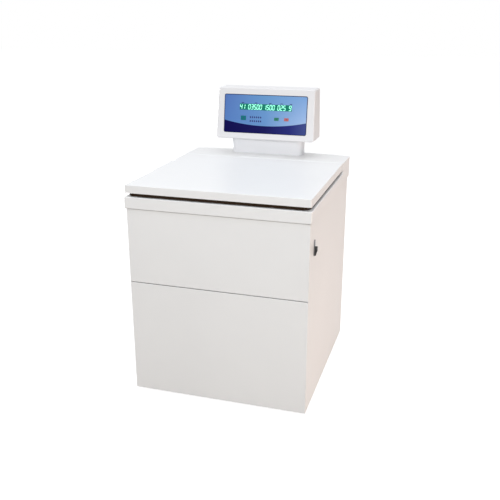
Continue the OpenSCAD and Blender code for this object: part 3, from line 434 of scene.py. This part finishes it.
bowl_low, bowl_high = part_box("chamber_bowl")
chamber = Vector((0, (bowl_low.y + bowl_high.y) / 2, 0))
bowl_r = 0.225
bowl_t = 0.0015
bowl_lip = 0.002
bowl_hole_r = 0.032
corner_r = 0.018
bowl_floor = bowl_low.z + bowl_t
corner = (bowl_r - corner_r, bowl_floor + corner_r)
bowl = turned("chamber_bowl_drawn", [
    (bowl_hole_r, bowl_floor), *arc(corner, corner_r, -90, 0, 8),
    (bowl_r, bowl_high.z - bowl_lip), (bowl_r + bowl_lip, bowl_high.z), (bowl_high.x, bowl_high.z),
    (bowl_high.x, bowl_high.z - bowl_t), (bowl_r + 1.5 * bowl_lip, bowl_high.z - bowl_t),
    (bowl_r + bowl_t, bowl_high.z - 2 * bowl_lip),
    *arc(corner, corner_r + bowl_t, 0, -90, 8), (bowl_hole_r, bowl_low.z)], chamber, 128, True)
bowl_steel = drawn_steel("bowl_steel", tint(176, 178, 180), tint(218, 219, 221), 0.26, (5, 5, 900))
fit(bowl, "cabinet", "bright_steel", bowl_steel, "chamber_bowl")

seal_low, seal_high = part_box("shaft_seal")
seal_r = seal_high.x
seal_bore = 0.0158
seal = turned("shaft_seal_lip", [
    (seal_bore, seal_low.z), (seal_r - 0.001, seal_low.z), (seal_r, seal_low.z + 0.001),
    (seal_r, seal_low.z + 0.002), (seal_r - 0.003, seal_low.z + 0.0035), (0.024, seal_low.z + 0.004),
    (0.021, seal_low.z + 0.0055), (0.0185, seal_high.z - 0.0006), (0.0178, seal_high.z),
    (seal_bore, seal_high.z)], chamber, 64, True)
fit(seal, "cabinet", "rubber_black", black_rubber, "shaft_seal")


# Rotor: forged aluminium yoke with forked arms on the shaft's spigot, held by a fluted nut.
# Four turned aluminium buckets hang in it on steel pins.
def copied(name, node, merge=0.00001):
    """A copy of a machined solid, with its loose triangles merged into whole faces."""
    piece = bpy.data.objects.new(name, frame["nodes"][node].data.copy())
    piece.data.materials.clear()
    bpy.context.scene.collection.objects.link(piece)
    select_only(piece)
    bpy.ops.mesh.customdata_custom_splitnormals_clear()
    bpy.ops.object.mode_set(mode="EDIT")
    bpy.ops.mesh.select_all(action="SELECT")
    bpy.ops.mesh.remove_doubles(threshold=merge)
    bpy.ops.mesh.dissolve_limited(angle_limit=math.radians(1))
    done()
    return piece


def soften(piece, width, segments=2, angle=40):
    """Rounds all edges sharper than the angle, as a machined or folded piece has them."""
    select_only(piece)
    bevel = piece.modifiers.new("edges", "BEVEL")
    bevel.width = width
    bevel.segments = segments
    bevel.limit_method = "ANGLE"
    bevel.angle_limit = math.radians(angle)
    bpy.ops.object.modifier_apply(modifier=bevel.name)
    smooth(piece)
    return piece


forged_aluminium = cast_metal("forged_aluminium", tint(156, 159, 163), tint(196, 198, 201), 1.0, 0.4)
turned_aluminium = drawn_steel("turned_aluminium", tint(166, 169, 173), tint(208, 210, 213), 0.3,
                               (40, 40, 1500))
fit(soften(copied("rotor_yoke_forged", "rotor_yoke"), 0.0015), "rotor", "cast_aluminium",
    forged_aluminium, "rotor_yoke")
fit(soften(copied("rotor_nut_fluted", "rotor_nut"), 0.0010), "rotor", "black_plastic",
    black_plastic, "rotor_nut")
for side in ("right", "rear", "left", "front"):
    name = "bucket_" + side
    fit(soften(copied(name + "_turned", name), 0.0012), name, "cast_aluminium", turned_aluminium, name)
dress(shaft_steel, "bucket_pins")


# Front panels: two shallow pans of folded sheet steel, one above the other with a thin seam between,
# powder coated white and hooked onto the welded frame.
def block(name, low, high):
    """A cube primitive stretched between two corners."""
    bpy.ops.object.select_all(action="DESELECT")
    bpy.ops.mesh.primitive_cube_add(size=1, location=(Vector(low) + Vector(high)) / 2)
    piece = bpy.context.object
    piece.name = name
    piece.scale = Vector(high) - Vector(low)
    bpy.ops.object.transform_apply(location=True, rotation=True, scale=True)
    return piece


def facing(axis, side):
    """A test for faces whose normal points along an axis, 0 to 2, on its plus or minus side."""
    return lambda face: face.normal[axis] * side > 0.99


def along(axis, test=None):
    """A test for edges that run along an axis and whose middle passes a further test."""
    def runs(edge):
        start, end = (vert.co for vert in edge.verts)
        across = (end - start).normalized()
        return abs(across[axis]) > 0.9 and (test is None or test((start + end) / 2))
    return runs


def at_plane(axis, value):
    """A test for edges that lie wholly in a plane square to an axis."""
    return lambda edge: all(abs(vert.co[axis] - value) < 0.00005 for vert in edge.verts)


def push(value):
    """Extrudes what is selected by a vector."""
    bpy.ops.mesh.extrude_region_move(TRANSFORM_OT_translate={"value": value})


def round_edges(piece, test, radius, segments):
    """Rounds the edges that pass the test."""
    pick(piece, "EDGE", test)
    bpy.ops.mesh.bevel(offset=radius, segments=segments, affect="EDGES")
    done()


def powder_coat(name, shade, light):
    """Baked powder paint: a faint orange peel, slow changes of tone, a low sheen."""
    material, tree, skin, place = finish_base(name, specular=0.4)
    coat(tree, skin, shades(tree, cloud(tree, place, 2.5), (0.3, shade), (0.7, light)),
         between(tree, cloud(tree, place, 26), 0.34, 0.44))
    relief(tree, skin, cloud(tree, place, 520, 2.0), 0.00004)
    return material


cabinet_white = powder_coat("cabinet_white_coat", tint(235, 235, 234), tint(238, 238, 237))
sheet_t = 0.002
edge_r = 0.0015
fold_in = 0.0025
fold_d = 0.015
for name in ("front_lower_panel", "front_upper_panel"):
    low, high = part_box(name)
    pan = block(name + "_pan", low, (high.x, low.y + sheet_t, high.z))
    round_edges(pan, at_plane(1, low.y), edge_r, 3)
    pick(pan, "FACE", facing(1, 1))
    bpy.ops.mesh.inset(thickness=fold_in)
    push((0, fold_d, 0))
    bpy.ops.mesh.inset(thickness=sheet_t)
    push((0, -fold_d, 0))
    done()
    smooth(pan)
    fit(pan, "cabinet", "cabinet_white", cabinet_white, name)


# Side panels: flat coated sheets with a fold under the lower edge;
# the right one has the round hole for the hand release.
for side in ("left", "right"):
    name = side + "_side_panel"
    fit(soften(copied(name + "_sheet", name), 0.0007), "cabinet", "cabinet_white", cabinet_white, name)


# Rear panel: coated sheet held by pan-head screws, with two columns of pressed louvres behind the condenser
# and a threaded gland for the mains lead.
def thicken(piece, wall):
    """Gives an open shell its wall, inwards from the outer skin."""
    select_only(piece)
    skin = piece.modifiers.new("wall", "SOLIDIFY")
    skin.thickness = wall
    skin.offset = -1
    skin.use_even_offset = True
    bpy.ops.object.modifier_apply(modifier=skin.name)


def drop_faces(piece, test):
    """Opens a piece by taking away the faces that pass the test."""
    pick(piece, "FACE", test)
    bpy.ops.mesh.delete(type="FACE")
    done()


def cut(piece, tool):
    """Takes a tool's shape out of a piece, and removes the tool."""
    select_only(piece)
    hole = piece.modifiers.new("hole", "BOOLEAN")
    hole.operation = "DIFFERENCE"
    hole.solver = "EXACT"
    hole.object = tool
    bpy.ops.object.modifier_apply(modifier=hole.name)
    bpy.data.objects.remove(tool)


def pan_screw(name, head_r, head_h, shank_r, shank):
    """A pan-head screw pointing down, its head's underside at zero, with a cross recess."""
    screw = turned(name, [
        (0, -shank), (shank_r, -shank), (shank_r, 0), (head_r, 0), (head_r, 0.4 * head_h),
        (0.9 * head_r, 0.75 * head_h), (0.6 * head_r, 0.95 * head_h), (0, head_h)], steps=32)
    arm = 0.55 * head_r
    slit = 0.14 * head_r
    for x, y in ((arm, slit), (slit, arm)):
        cut(screw, block("slit", (-x, -y, 0.45 * head_h), (x, y, 1.2 * head_h)))
    smooth(screw)
    return screw


rear_low, rear_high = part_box("rear_panel")
coil_low, coil_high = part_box("condenser")
fit(soften(copied("rear_panel_sheet", "rear_panel"), 0.0004), "cabinet", "cabinet_white", cabinet_white,
    "rear_panel")

slot_edge = 0.015
slot_pitch = 0.020
hood_h = 0.013
hood_d = 0.007
hood_r = 0.0055
hood_t = 0.0012
hood_lap = 0.003
slot_w = (coil_high.x - coil_low.x) / 2 - 1.6 * slot_edge
slots = int((coil_high.z - coil_low.z - 2 * slot_edge) / slot_pitch + 0.001)
hood = block("rear_louvres", (-hood_lap, 0, 0), (slot_w + hood_lap, hood_d, hood_h))
round_edges(hood, lambda edge: at_plane(1, hood_d)(edge) and not at_plane(2, 0)(edge), hood_r, 5)
drop_faces(hood, lambda face: facing(1, -1)(face) or facing(2, -1)(face))
thicken(hood, hood_t)
smooth(hood)
columns = (coil_low.x + slot_edge, coil_high.x - slot_edge - slot_w)
louvres = stamp(hood, [Matrix.Translation((x, rear_high.y, coil_low.z + slot_edge + i * slot_pitch))
                       for x in columns for i in range(slots)])
fit(louvres, "cabinet", "cabinet_white", cabinet_white)

head_low, head_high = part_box("head_rear_cover")
screw_head_r = 0.004
screw_head_h = 0.0026
screw_r = 0.002
rear_screws = 5
rear_screw_x = rear_high.x - 0.015
rear_screw_low = rear_low.z + 0.080
rear_screw_high = rear_high.z - 0.030
rear_screw_step = (rear_screw_high - rear_screw_low) / (rear_screws - 1)
head_screw_x = head_high.x - 0.040
head_screw_in = 0.030
screw_spots = [(x, rear_high.y, rear_screw_low + i * rear_screw_step)
               for x in (-rear_screw_x, rear_screw_x) for i in range(rear_screws)]
screw_spots += [(x, head_high.y, z) for x in (-head_screw_x, head_screw_x)
                for z in (head_low.z + head_screw_in, head_high.z - head_screw_in)]
to_rear = Matrix.Rotation(math.radians(-90), 4, "X")
screws = stamp(pan_screw("cover_screws_pan", screw_head_r, screw_head_h, screw_r, sheet_t),
               [Matrix.Translation(spot) @ to_rear for spot in screw_spots])
fit(screws, "cabinet", "bright_steel", zinc_steel, "cover_screws")

inlet_low, inlet_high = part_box("mains_inlet")
inlet_bore = 0.006
inlet_body = 0.011
nose_r = 0.004
collar_r = 0.016
collar_h = 0.007
lock_nut_h = 0.006
inlet_depth = rear_high.y - inlet_low.y
inlet_proud = inlet_high.y - rear_high.y
inlet_mid = Vector(((inlet_low.x + inlet_high.x) / 2, rear_high.y, (inlet_low.z + inlet_high.z) / 2))
gland = turned("mains_inlet_gland", [
    (inlet_bore, -inlet_depth), (inlet_body, -inlet_depth), (inlet_body, collar_h),
    (inlet_body, inlet_proud - nose_r), *arc((inlet_body - nose_r, inlet_proud - nose_r), nose_r, 0, 80, 5),
    (inlet_bore, inlet_proud)], steps=48, closed=True)
for foot_z, top_z in ((0, collar_h), (-sheet_t - lock_nut_h, -sheet_t)):
    bpy.ops.object.select_all(action="DESELECT")
    bpy.ops.mesh.primitive_cylinder_add(vertices=6, radius=collar_r, depth=top_z - foot_z,
                                        location=(0, 0, (foot_z + top_z) / 2))
    collar = bpy.context.object
    bpy.ops.object.transform_apply(location=True)
    soften(collar, 0.0012)
    gland.select_set(True)
    bpy.context.view_layer.objects.active = gland
    bpy.ops.object.join()
fit(stamp(gland, [Matrix.Translation(inlet_mid) @ to_rear]), "cabinet", "black_plastic", black_plastic,
    "mains_inlet")


# Top cover: one coated shell that carries the chamber mouth, with an overhanging rim at the front and sides
# and a raised deck behind the lid whose rear edge bows out.
cover_low, cover_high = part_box("top_cover")
lid_low, lid_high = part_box("lid_cover")
gasket_low, gasket_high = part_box("chamber_gasket")
striker_low, striker_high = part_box("lid_striker")
deck_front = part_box("hinge_deck_leaf")[1].y
lid_gap = 0.014
rim_top = lid_low.z - lid_gap
deck_bow = 0.030
cover_t = 0.003
cover_corner_r = 0.006
cover_edge_r = 0.0025
rim_flange = 0.046
mouth_r = bowl_r + 0.013
striker_hole_r = 0.017
striker_spot = (striker_low + striker_high) / 2


def split_at(piece, point, normal):
    """Adds an edge all round a piece where a plane meets it."""
    select_only(piece)
    bpy.ops.object.mode_set(mode="EDIT")
    bpy.ops.mesh.select_all(action="SELECT")
    bpy.ops.mesh.bisect(plane_co=point, plane_no=normal)
    done()


cover = block("top_cover_shell", cover_low, (cover_high.x, cover_high.y - deck_bow, rim_top))
pick(cover, "EDGE", lambda edge: at_plane(1, cover_high.y - deck_bow)(edge) and along(0)(edge))
bpy.ops.mesh.subdivide(number_cuts=31)
done()
for vert in cover.data.vertices:
    if abs(vert.co.y - cover_high.y + deck_bow) < 0.0001:
        vert.co.y += deck_bow * (1 - (vert.co.x / cover_high.x) ** 2)
split_at(cover, (0, deck_front, 0), (0, 1, 0))
pick(cover, "FACE", lambda face: facing(2, 1)(face) and face.calc_center_median().y > deck_front)
push((0, 0, cover_high.z - rim_top))
done()
round_edges(cover, along(2, lambda middle: abs(middle.x) > cover_high.x - 0.0001
                         and (middle.y < cover_low.y + 0.0001 or middle.y > deck_front + 0.01)),
            cover_corner_r, 4)
soften(cover, cover_edge_r, 3, 35)
pick(cover, "FACE", lambda face: facing(2, -1)(face) and face.calc_center_median().z < cover_low.z + 0.0001)
bpy.ops.mesh.dissolve_faces()
bpy.ops.mesh.inset(thickness=rim_flange)
bpy.ops.mesh.delete(type="FACE")
done()
thicken(cover, cover_t)
for radius, spot in ((mouth_r, chamber), (striker_hole_r, striker_spot)):
    bpy.ops.object.select_all(action="DESELECT")
    bpy.ops.mesh.primitive_cylinder_add(vertices=128, radius=radius, depth=4 * cover_t,
                                        location=(spot.x, spot.y, rim_top))
    punch = bpy.context.object
    bpy.ops.object.transform_apply(location=True)
    cut(cover, punch)
smooth(cover)
fit(cover, "cabinet", "cabinet_white", cabinet_white, "top_cover")


# Chamber gasket: a soft grey extruded ring of rubber, pushed over the edge of the chamber's mouth,
# whose round lip meets the lid's liner.
grey_rubber = rubber("grey_rubber", tint(120, 122, 124))
gasket_in = bowl_r + 0.002
gasket_r = gasket_high.x
lip_r = 0.0024
fit_gap = 0.0003
gasket = turned("chamber_gasket_ring", [
    (gasket_in, gasket_low.z), (mouth_r - fit_gap, gasket_low.z), (mouth_r - fit_gap, rim_top),
    (gasket_r, rim_top),
    *arc((gasket_r - lip_r, rim_top + fit_gap), lip_r, 0, 90, 4),
    *arc((gasket_in + lip_r, gasket_high.z - lip_r), lip_r, 90, 180, 4)], chamber, 128, True)
fit(gasket, "cabinet", "gasket_grey", grey_rubber, "chamber_gasket")


# Lid lock, screwed up under the rim: a flat painted gear motor with a hardened and ground steel claw
# that turns in over the striker's head.
fit(soften(copied("latch_housing_case", "latch_housing"), 0.0008), "cabinet", "frame_steel", frame_paint,
    "latch_housing")
fit(soften(copied("latch_claw_ground", "latch_claw"), 0.0004), "latch_claw", "bright_steel", zinc_steel,
    "latch_claw")


# Hand release of the lid lock on the right side: satin metal plate with round ends,
# and a short black lever that hangs down from it.
satin_chrome = drawn_steel("satin_chrome", tint(104, 104, 106), tint(140, 140, 142), 0.32, (500, 500, 40))
fit(soften(copied("release_plate_satin", "release_plate"), 0.0007), "cabinet", "lock_chrome", satin_chrome,
    "release_plate")
fit(soften(copied("release_lever_moulded", "release_lever"), 0.0010), "release_lever", "black_plastic",
    black_plastic, "release_lever")


# Lid: coated pan with its edges turned in underneath, filled with foam.
# It floats over the rim on a dark moulded liner that is screwed up into it.
lid_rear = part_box("hinge_lid_leaf")[0].y
liner_low, liner_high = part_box("lid_liner")
liner_lap = 0.018
liner_r = 0.030
lid_sheet = 0.0015
lid_corner_r = 0.005
lid_edge_r = 0.0018
ear_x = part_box("hinge_pin")[1].x + 0.0005
ear_r = 0.0035
lid = block("lid_cover_pan", lid_low, (lid_high.x, lid_rear, lid_high.z))
for side in (-1, 1):
    split_at(lid, (side * ear_x, 0, 0), (1, 0, 0))
pick(lid, "FACE", lambda face: facing(1, 1)(face) and abs(face.calc_center_median().x) > ear_x)
push((0, lid_high.y - lid_rear, 0))
done()
round_edges(lid, along(2, lambda middle: middle.y < lid_low.y + 0.0001 and abs(middle.x) > ear_x + 0.001),
            lid_corner_r, 4)
round_edges(lid, lambda edge: at_plane(1, lid_high.y)(edge) and at_plane(2, lid_high.z)(edge), ear_r, 6)
soften(lid, lid_edge_r, 3)
thicken(lid, lid_sheet)
cut(lid, block("opening", (liner_low.x + liner_lap, liner_low.y + liner_lap, lid_low.z - lid_sheet),
               (liner_high.x - liner_lap, liner_high.y - liner_lap, lid_low.z + 2 * lid_sheet)))
smooth(lid)
fit(lid, "lid", "cabinet_white", cabinet_white, "lid_cover")

liner_dark = moulded("liner_dark", tint(46, 33, 23), 900, 0.8, 0.08)
liner = soften(copied("lid_liner_tray", "lid_liner"), 0.0006)
seat_in = gasket_in + 0.006
seat_out = gasket_r - 0.008
seat_low = liner_low.z - 0.001
seat_high = liner_low.z + 0.0008
cut(liner, turned("seat", [(seat_in, seat_low), (seat_out, seat_low), (seat_out, seat_high),
                           (seat_in, seat_high)], chamber, 128, True))
smooth(liner)
fit(liner, "lid", "liner_dark", liner_dark, "lid_liner")

edge = liner_lap / 2
across = 4
rows = 3
lid_spots = [((liner_high.x - liner_r) * (2 * i / (across - 1) - 1), y) for i in range(across)
             for y in (liner_low.y + edge, liner_high.y - edge)]
lid_spots += [(x, liner_low.y + i * (liner_high.y - liner_low.y) / (rows + 1))
              for x in (liner_low.x + edge, liner_high.x - edge) for i in range(1, rows + 1)]
upside_down = Matrix.Rotation(math.radians(180), 4, "X")
lid_screw_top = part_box("lid_screws")[1].z
lid_screw = pan_screw("lid_screws_pan", screw_head_r, screw_head_h, screw_r,
                      lid_screw_top - liner_low.z - screw_head_h)
lid_screws = stamp(lid_screw, [Matrix.Translation((x, y, liner_low.z + screw_head_h)) @ upside_down
                               for x, y in lid_spots])
fit(lid_screws, "lid", "bright_steel", zinc_steel, "lid_screws")

striker_neck_r = 0.005
striker_head_r = striker_high.x
striker_head_top = striker_low.z + 0.006
striker_lead = 0.002
striker_edge = 0.0005
striker = turned("lid_striker_turned", [
    (0, striker_low.z), (striker_head_r - striker_lead, striker_low.z),
    (striker_head_r, striker_low.z + striker_lead), (striker_head_r, striker_head_top - striker_edge),
    (striker_head_r - striker_edge, striker_head_top), (striker_neck_r, striker_head_top),
    (striker_neck_r, striker_high.z), (0, striker_high.z)], (striker_spot.x, striker_spot.y, 0), 48)
fit(striker, "lid", "bright_steel", shaft_steel, "lid_striker")


# Continuous hinge between lid and deck: two leaves of rolled sheet steel, coated with the cabinet,
# whose knuckles interleave on one long steel pin.
dress(cabinet_white, "hinge_lid_leaf", "hinge_deck_leaf")
dress(shaft_steel, "hinge_pin")


# Console neck: a short hollow column of folded sheet on the deck, powder coated like the cabinet
# but in a lighter white, as painted light against the shade under the head, with broad round front corners.
# A lighter copy of the cabinet's white: painted light that offsets the head's shadow on the neck.
neck_paint_lightened = powder_coat("neck_coat_lightened", tint(245, 245, 247), tint(248, 248, 250))
head_wall = 0.004
neck_front_r = 0.024
neck_rear_r = 0.003
neck_low, neck_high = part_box("console_neck")
neck = block("console_neck_column", neck_low, neck_high)
round_edges(neck, along(2, lambda middle: middle.y < neck_low.y + 0.0001), neck_front_r, 10)
round_edges(neck, along(2, lambda middle: middle.y > neck_high.y - 0.0001), neck_rear_r, 3)
drop_faces(neck, lambda face: abs(face.normal.z) > 0.99)
thicken(neck, head_wall)
smooth(neck)
fit(neck, "cabinet", "console_white", neck_paint_lightened, "console_neck")


# Console head: two moulded shells, painted white, that meet in a thin seam: a bezel with a sloping face
# and a deep rear cover. The bezel's face has a shallow pocket for the printed panel. Their white is a darker
# copy of the console's white: painted shade that dims the head's lit faces.
def on_face(piece):
    """Moves a piece drawn flat, with X sideways, Y up and Z out, onto the sloping face."""
    piece.matrix_world = face_place
    select_only(piece)
    bpy.ops.object.transform_apply(location=True, rotation=True, scale=True)
    return piece


def window(name, inset, low, high):
    """A flat block with round corners, the size of the printed panel less an inset, as a cutting tool."""
    tool = block(name, (panel_x - panel_w / 2 + inset, panel_v + inset, low),
                 (panel_x + panel_w / 2 - inset, panel_v + panel_h - inset, high))
    round_edges(tool, along(2), panel_r - inset / 2, 8)
    return on_face(tool)


press_axis = Vector(next(joint for joint in frame["joints"] if joint["name"] == "set_press")["axis"])
tilt = math.atan2(-press_axis.z, press_axis.y)
bezel_low, bezel_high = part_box("head_bezel")
face_low = bezel_low.z
face_front = bezel_low.y
face_place = Matrix.Translation((0, face_front, face_low)) @ Matrix.Rotation(math.pi / 2 - tilt, 4, "X")
head_taper = 0.005
head_corner_r = 0.009
bezel_d = 0.032
bezel_edge_r = 0.005
rear_edge_r = 0.008
seam = 0.0003
panel_w = 0.370
panel_h = 0.165
panel_x = -0.0015
panel_v = 0.0265
panel_r = 0.008
panel_ledge = 0.008
pocket_d = 0.002
# A darker copy of the console's white: painted shade on the head's well-lit faces.
shell_paint_darkened = powder_coat("console_shell_darkened", tint(227, 226, 226), tint(230, 229, 229))
split = face_front + bezel_d / math.cos(tilt)
for name, front, rear, way, round_r in (("head_bezel", face_front, split - seam, -1, bezel_edge_r),
                                        ("head_rear_cover", split, head_high.y, 1, rear_edge_r)):
    shell = block(name + "_shell", (-bezel_high.x, front, face_low), (bezel_high.x, rear, bezel_high.z))
    for vert in shell.data.vertices:
        rise = vert.co.z - face_low
        vert.co.x -= math.copysign(head_taper * rise / (bezel_high.z - face_low), vert.co.x)
        if vert.co.y < head_high.y - 0.001:
            vert.co.y += rise * math.tan(tilt)
    round_edges(shell, along(1), head_corner_r, 5)
    pick(shell, "FACE", lambda face: face.normal.y * way > 0.9)
    bpy.ops.mesh.region_to_loop()
    bpy.ops.mesh.bevel(offset=round_r, segments=4, affect="EDGES")
    done()
    drop_faces(shell, lambda face: face.normal.y * way < -0.9)
    thicken(shell, head_wall)
    if name == "head_bezel":
        cut(shell, window("pocket", 0, -pocket_d, pocket_d))
        cut(shell, window("opening", panel_ledge, -5 * pocket_d, pocket_d))
    soften(shell, 0.0005, 2, 50)
    fit(shell, "cabinet", "console_white", shell_paint_darkened, name)


# Printed panel: polyester film stuck in the bezel's pocket, light blue over a navy foot that ends
# in a wide arc, with a thin dark line round the edge that is painted shade where the pocket's wall meets the
# film.
def math_node(tree, operation, *values):
    """One step of arithmetic on shader values."""
    return wire(tree, "ShaderNodeMath", dict(enumerate(values)), operation=operation).outputs[0]


def mixed(tree, factor, first, second):
    """A blend from the first colour to the second."""
    return wire(tree, "ShaderNodeMix", {0: factor, 6: first, 7: second}, data_type="RGBA").outputs[2]


arc_low = 0.0595
arc_r = 0.818
arc_blur = 0.0003
# A thin dark line round the film's edge: painted shade along the pocket's wall.
shade_line_w = 0.003
shade_line_blur = 0.0004
print_film, print_tree, print_skin, print_place = finish_base("print_film", specular=0.05)
flat = wire(print_tree, "ShaderNodeMapping",
            {"Vector": print_place, "Location": (0, face_front, face_low),
             "Rotation": (math.pi / 2 - tilt, 0, 0)}, vector_type="TEXTURE").outputs[0]
flat_x, flat_v = wire(print_tree, "ShaderNodeSeparateXYZ", {0: flat}).outputs[:2]
from_middle = math_node(print_tree, "SUBTRACT", flat_x, panel_x)
sideways = between(print_tree, from_middle, 0, 1, -panel_w / 2, panel_w / 2)
upward = between(print_tree, flat_v, 0, 1, arc_low, panel_v + panel_h)
blue_low = shades(print_tree, sideways, (0.0, tint(86, 126, 188)), (0.5, tint(103, 146, 198)),
                  (1.0, tint(164, 191, 228)))
blue_high = shades(print_tree, sideways, (0.0, tint(88, 119, 185)), (0.5, tint(105, 153, 202)),
                   (1.0, tint(127, 166, 217)))
blue = mixed(print_tree, upward, blue_low, blue_high)
navy = shades(print_tree, sideways, (0.0, tint(10, 6, 72)), (0.5, tint(22, 21, 82)),
              (0.8, tint(38, 43, 114)), (1.0, tint(66, 78, 136)))
reach = wire(print_tree, "ShaderNodeVectorMath", {0: flat, 1: (0, arc_low + arc_r, 0)},
             operation="DISTANCE").outputs["Value"]
below_arc = between(print_tree, reach, 0, 1, arc_r - arc_blur, arc_r + arc_blur)
field = mixed(print_tree, below_arc, blue, navy)
from_centre = math_node(print_tree, "SUBTRACT", flat_v, panel_v + panel_h / 2)
squares = []
for offset, half in ((from_middle, panel_w / 2), (from_centre, panel_h / 2)):
    past = math_node(print_tree, "SUBTRACT", math_node(print_tree, "ABSOLUTE", offset), half - panel_r)
    past = math_node(print_tree, "MAXIMUM", past, 0.0)
    squares.append(math_node(print_tree, "MULTIPLY", past, past))
to_edge = math_node(print_tree, "SQRT", math_node(print_tree, "ADD", *squares))
# The painted shade line runs just inside the film's rounded outline.
shade_line_in = panel_r - shade_line_w
shade_line = between(print_tree, to_edge, 0, 1, shade_line_in - shade_line_blur, shade_line_in + shade_line_blur)
coat(print_tree, print_skin, mixed(print_tree, shade_line, field, tint(26, 34, 72)),
     between(print_tree, cloud(print_tree, print_place, 60), 0.46, 0.54))
relief(print_tree, print_skin, cloud(print_tree, print_place, 1500, 2.0), 0.00002)
dress(print_film, "panel_overlay")


# Display: dark green window in the panel over the console board, given a faint painted glow,
# with plain seven-segment numbers in five groups, each bar a raised lit strip.
def segment_bar(name, length, width, thick):
    """One flat bar with pointed ends, its length along X."""
    bar = block(name, (-length / 2, -width / 2, 0), (length / 2, width / 2, thick))
    round_edges(bar, along(2), 0.45 * min(length, width), 1)
    return bar


glass, glass_tree, glass_skin, glass_place = finish_base("display_glass", specular=0.1)
glass_tone = shades(glass_tree, cloud(glass_tree, glass_place, 40), (0.3, tint(20, 112, 94)),
                    (0.75, tint(28, 130, 110)))
coat(glass_tree, glass_skin, glass_tone, between(glass_tree, cloud(glass_tree, glass_place, 90), 0.10, 0.16))
# The window itself glows faintly green: a painted glow that brightens its dark green, not light from the
# numbers.
glass_skin.inputs["Emission Color"].default_value = tint(0, 96, 58)
glass_skin.inputs["Emission Strength"].default_value = 0.12
dress(glass, "display_window")
board_green = moulded("board_green", tint(28, 92, 52), 300, 0.35)
dress(board_green, "console_board")

lit, lit_tree, lit_skin, lit_place = finish_base("lit_green")
lit_tone = shades(lit_tree, cloud(lit_tree, lit_place, 160), (0.3, tint(128, 236, 200)),
                  (0.7, tint(156, 246, 216)))
coat(lit_tree, lit_skin, lit_tone, between(lit_tree, cloud(lit_tree, lit_place, 90), 0.3, 0.4))
lit_tree.links.new(lit_tone, lit_skin.inputs["Emission Color"])
lit_skin.inputs["Emission Strength"].default_value = 0.74

glyph_w = 0.0084
glyph_h = 0.0195
glyph_pitch = 0.0126
bar_w = 0.0028
bar_lap = 0.0006
slant = math.radians(7)
film_top = -0.0005
ink = 0.0002
display_v = 0.139
groups = ((-0.1140, "41"), (-0.0765, "03500"), (-0.0070, "1500"), (0.0540, "025"), (0.1040, "9"))
spans = {"a": (0, 2, 0), "g": (0, 1, 0), "d": (0, 0, 0), "f": (0, 1.5, 1), "b": (1, 1.5, 1), "e": (0, 0.5, 1),
         "c": (1, 0.5, 1)}
lit_bars = {"0": "abcdef", "1": "bc", "2": "abged", "3": "abgcd", "4": "fgbc", "5": "afgcd", "9": "abcfgd"}
bar_places = []
for start, digits in groups:
    for index, digit in enumerate(digits):
        for name in lit_bars[digit]:
            column, level, upright = spans[name]
            rise = (level - 1) * glyph_h / 2
            x = start + index * glyph_pitch + (column * glyph_w if upright else glyph_w / 2)
            spot = Matrix.Translation((x + rise * math.tan(slant), display_v + rise, film_top))
            bar_places.append(spot @ Matrix.Rotation(upright * (math.pi / 2 - slant), 4, "Z"))
numbers = on_face(stamp(segment_bar("display_numbers", glyph_w + bar_lap, bar_w, ink), bar_places))
fit(numbers, "cabinet", "display_green", lit)


# Printed marks: short dark strokes over the display and two rows of them beside the set key,
# screen printed on the film and raised by the thickness of the ink.
mark_ink, mark_tree, mark_skin, mark_place = finish_base("mark_ink", specular=0.3)
mark_tone = shades(mark_tree, cloud(mark_tree, mark_place, 200), (0.3, tint(36, 48, 104)),
                   (0.7, tint(50, 62, 120)))
coat(mark_tree, mark_skin, mark_tone, between(mark_tree, cloud(mark_tree, mark_place, 300), 0.5, 0.6))
high_mark_v = 0.1560
low_mark_x = -0.0660
low_mark_step = 0.0092
low_marks = 6
over_display = [(x, high_mark_v) for x in (-0.102, -0.043, 0.020, 0.071, 0.111)]
beside_key = [(low_mark_x + low_mark_step * i, v) for v in (0.0955, 0.0790) for i in range(low_marks)]
for name, length, width, spots in (("panel_marks_high", 0.0120, 0.0028, over_display),
                                   ("panel_marks_low", 0.0062, 0.0092, beside_key)):
    marks = on_face(stamp(segment_bar(name, length, width, ink),
                          [Matrix.Translation((x, v, film_top)) for x, v in spots]))
    fit(marks, "cabinet", "panel_print", mark_ink)


# Console keys: flat moulded caps with round corners that stand proud of the panel, each held behind it
# by its flange. Set is teal with a dot, start green with a triangle, stop red with a square.
key_v = 0.091
key_flange = 0.002
flange_low = -0.0031
flange_high = -0.0021
cap_top = 0.0007
cap_r = 0.0022
cap_edge_r = 0.0004
sign_r = 0.0028
key_kinds = (("set", -0.098, 0.0230, 0.0180, "key_green", tint(14, 106, 112), 24),
             ("start", 0.050, 0.0195, 0.0120, "key_green", tint(50, 124, 96), 3),
             ("stop", 0.094, 0.0195, 0.0120, "key_red", tint(190, 102, 96), 4))
for kind, x, key_w, key_h, slot, colour, corners in key_kinds:
    key = block(kind + "_key_cap", (x - key_w / 2 - key_flange, key_v - key_h / 2 - key_flange, flange_low),
                (x + key_w / 2 + key_flange, key_v + key_h / 2 + key_flange, flange_high))
    pick(key, "FACE", facing(2, 1))
    bpy.ops.mesh.inset(thickness=key_flange)
    push((0, 0, cap_top - flange_high))
    done()
    round_edges(key, along(2, lambda middle: middle.z > flange_high), cap_r, 4)
    soften(key, cap_edge_r)
    on_face(key)
    fit(key, kind + "_key", slot, moulded(kind + "_key_plastic", colour, 1500, 0.4, 0.15), kind + "_key")

    bpy.ops.object.select_all(action="DESELECT")
    bpy.ops.mesh.primitive_cylinder_add(vertices=corners, radius=sign_r, depth=ink,
                                        location=(x, key_v, cap_top),
                                        rotation=(0, 0, math.pi / 2 - math.pi / corners))
    sign = bpy.context.object
    sign.name = kind + "_key_sign"
    bpy.ops.object.transform_apply(location=True, rotation=True, scale=True)
    fit(on_face(sign), kind + "_key", slot, mark_ink)
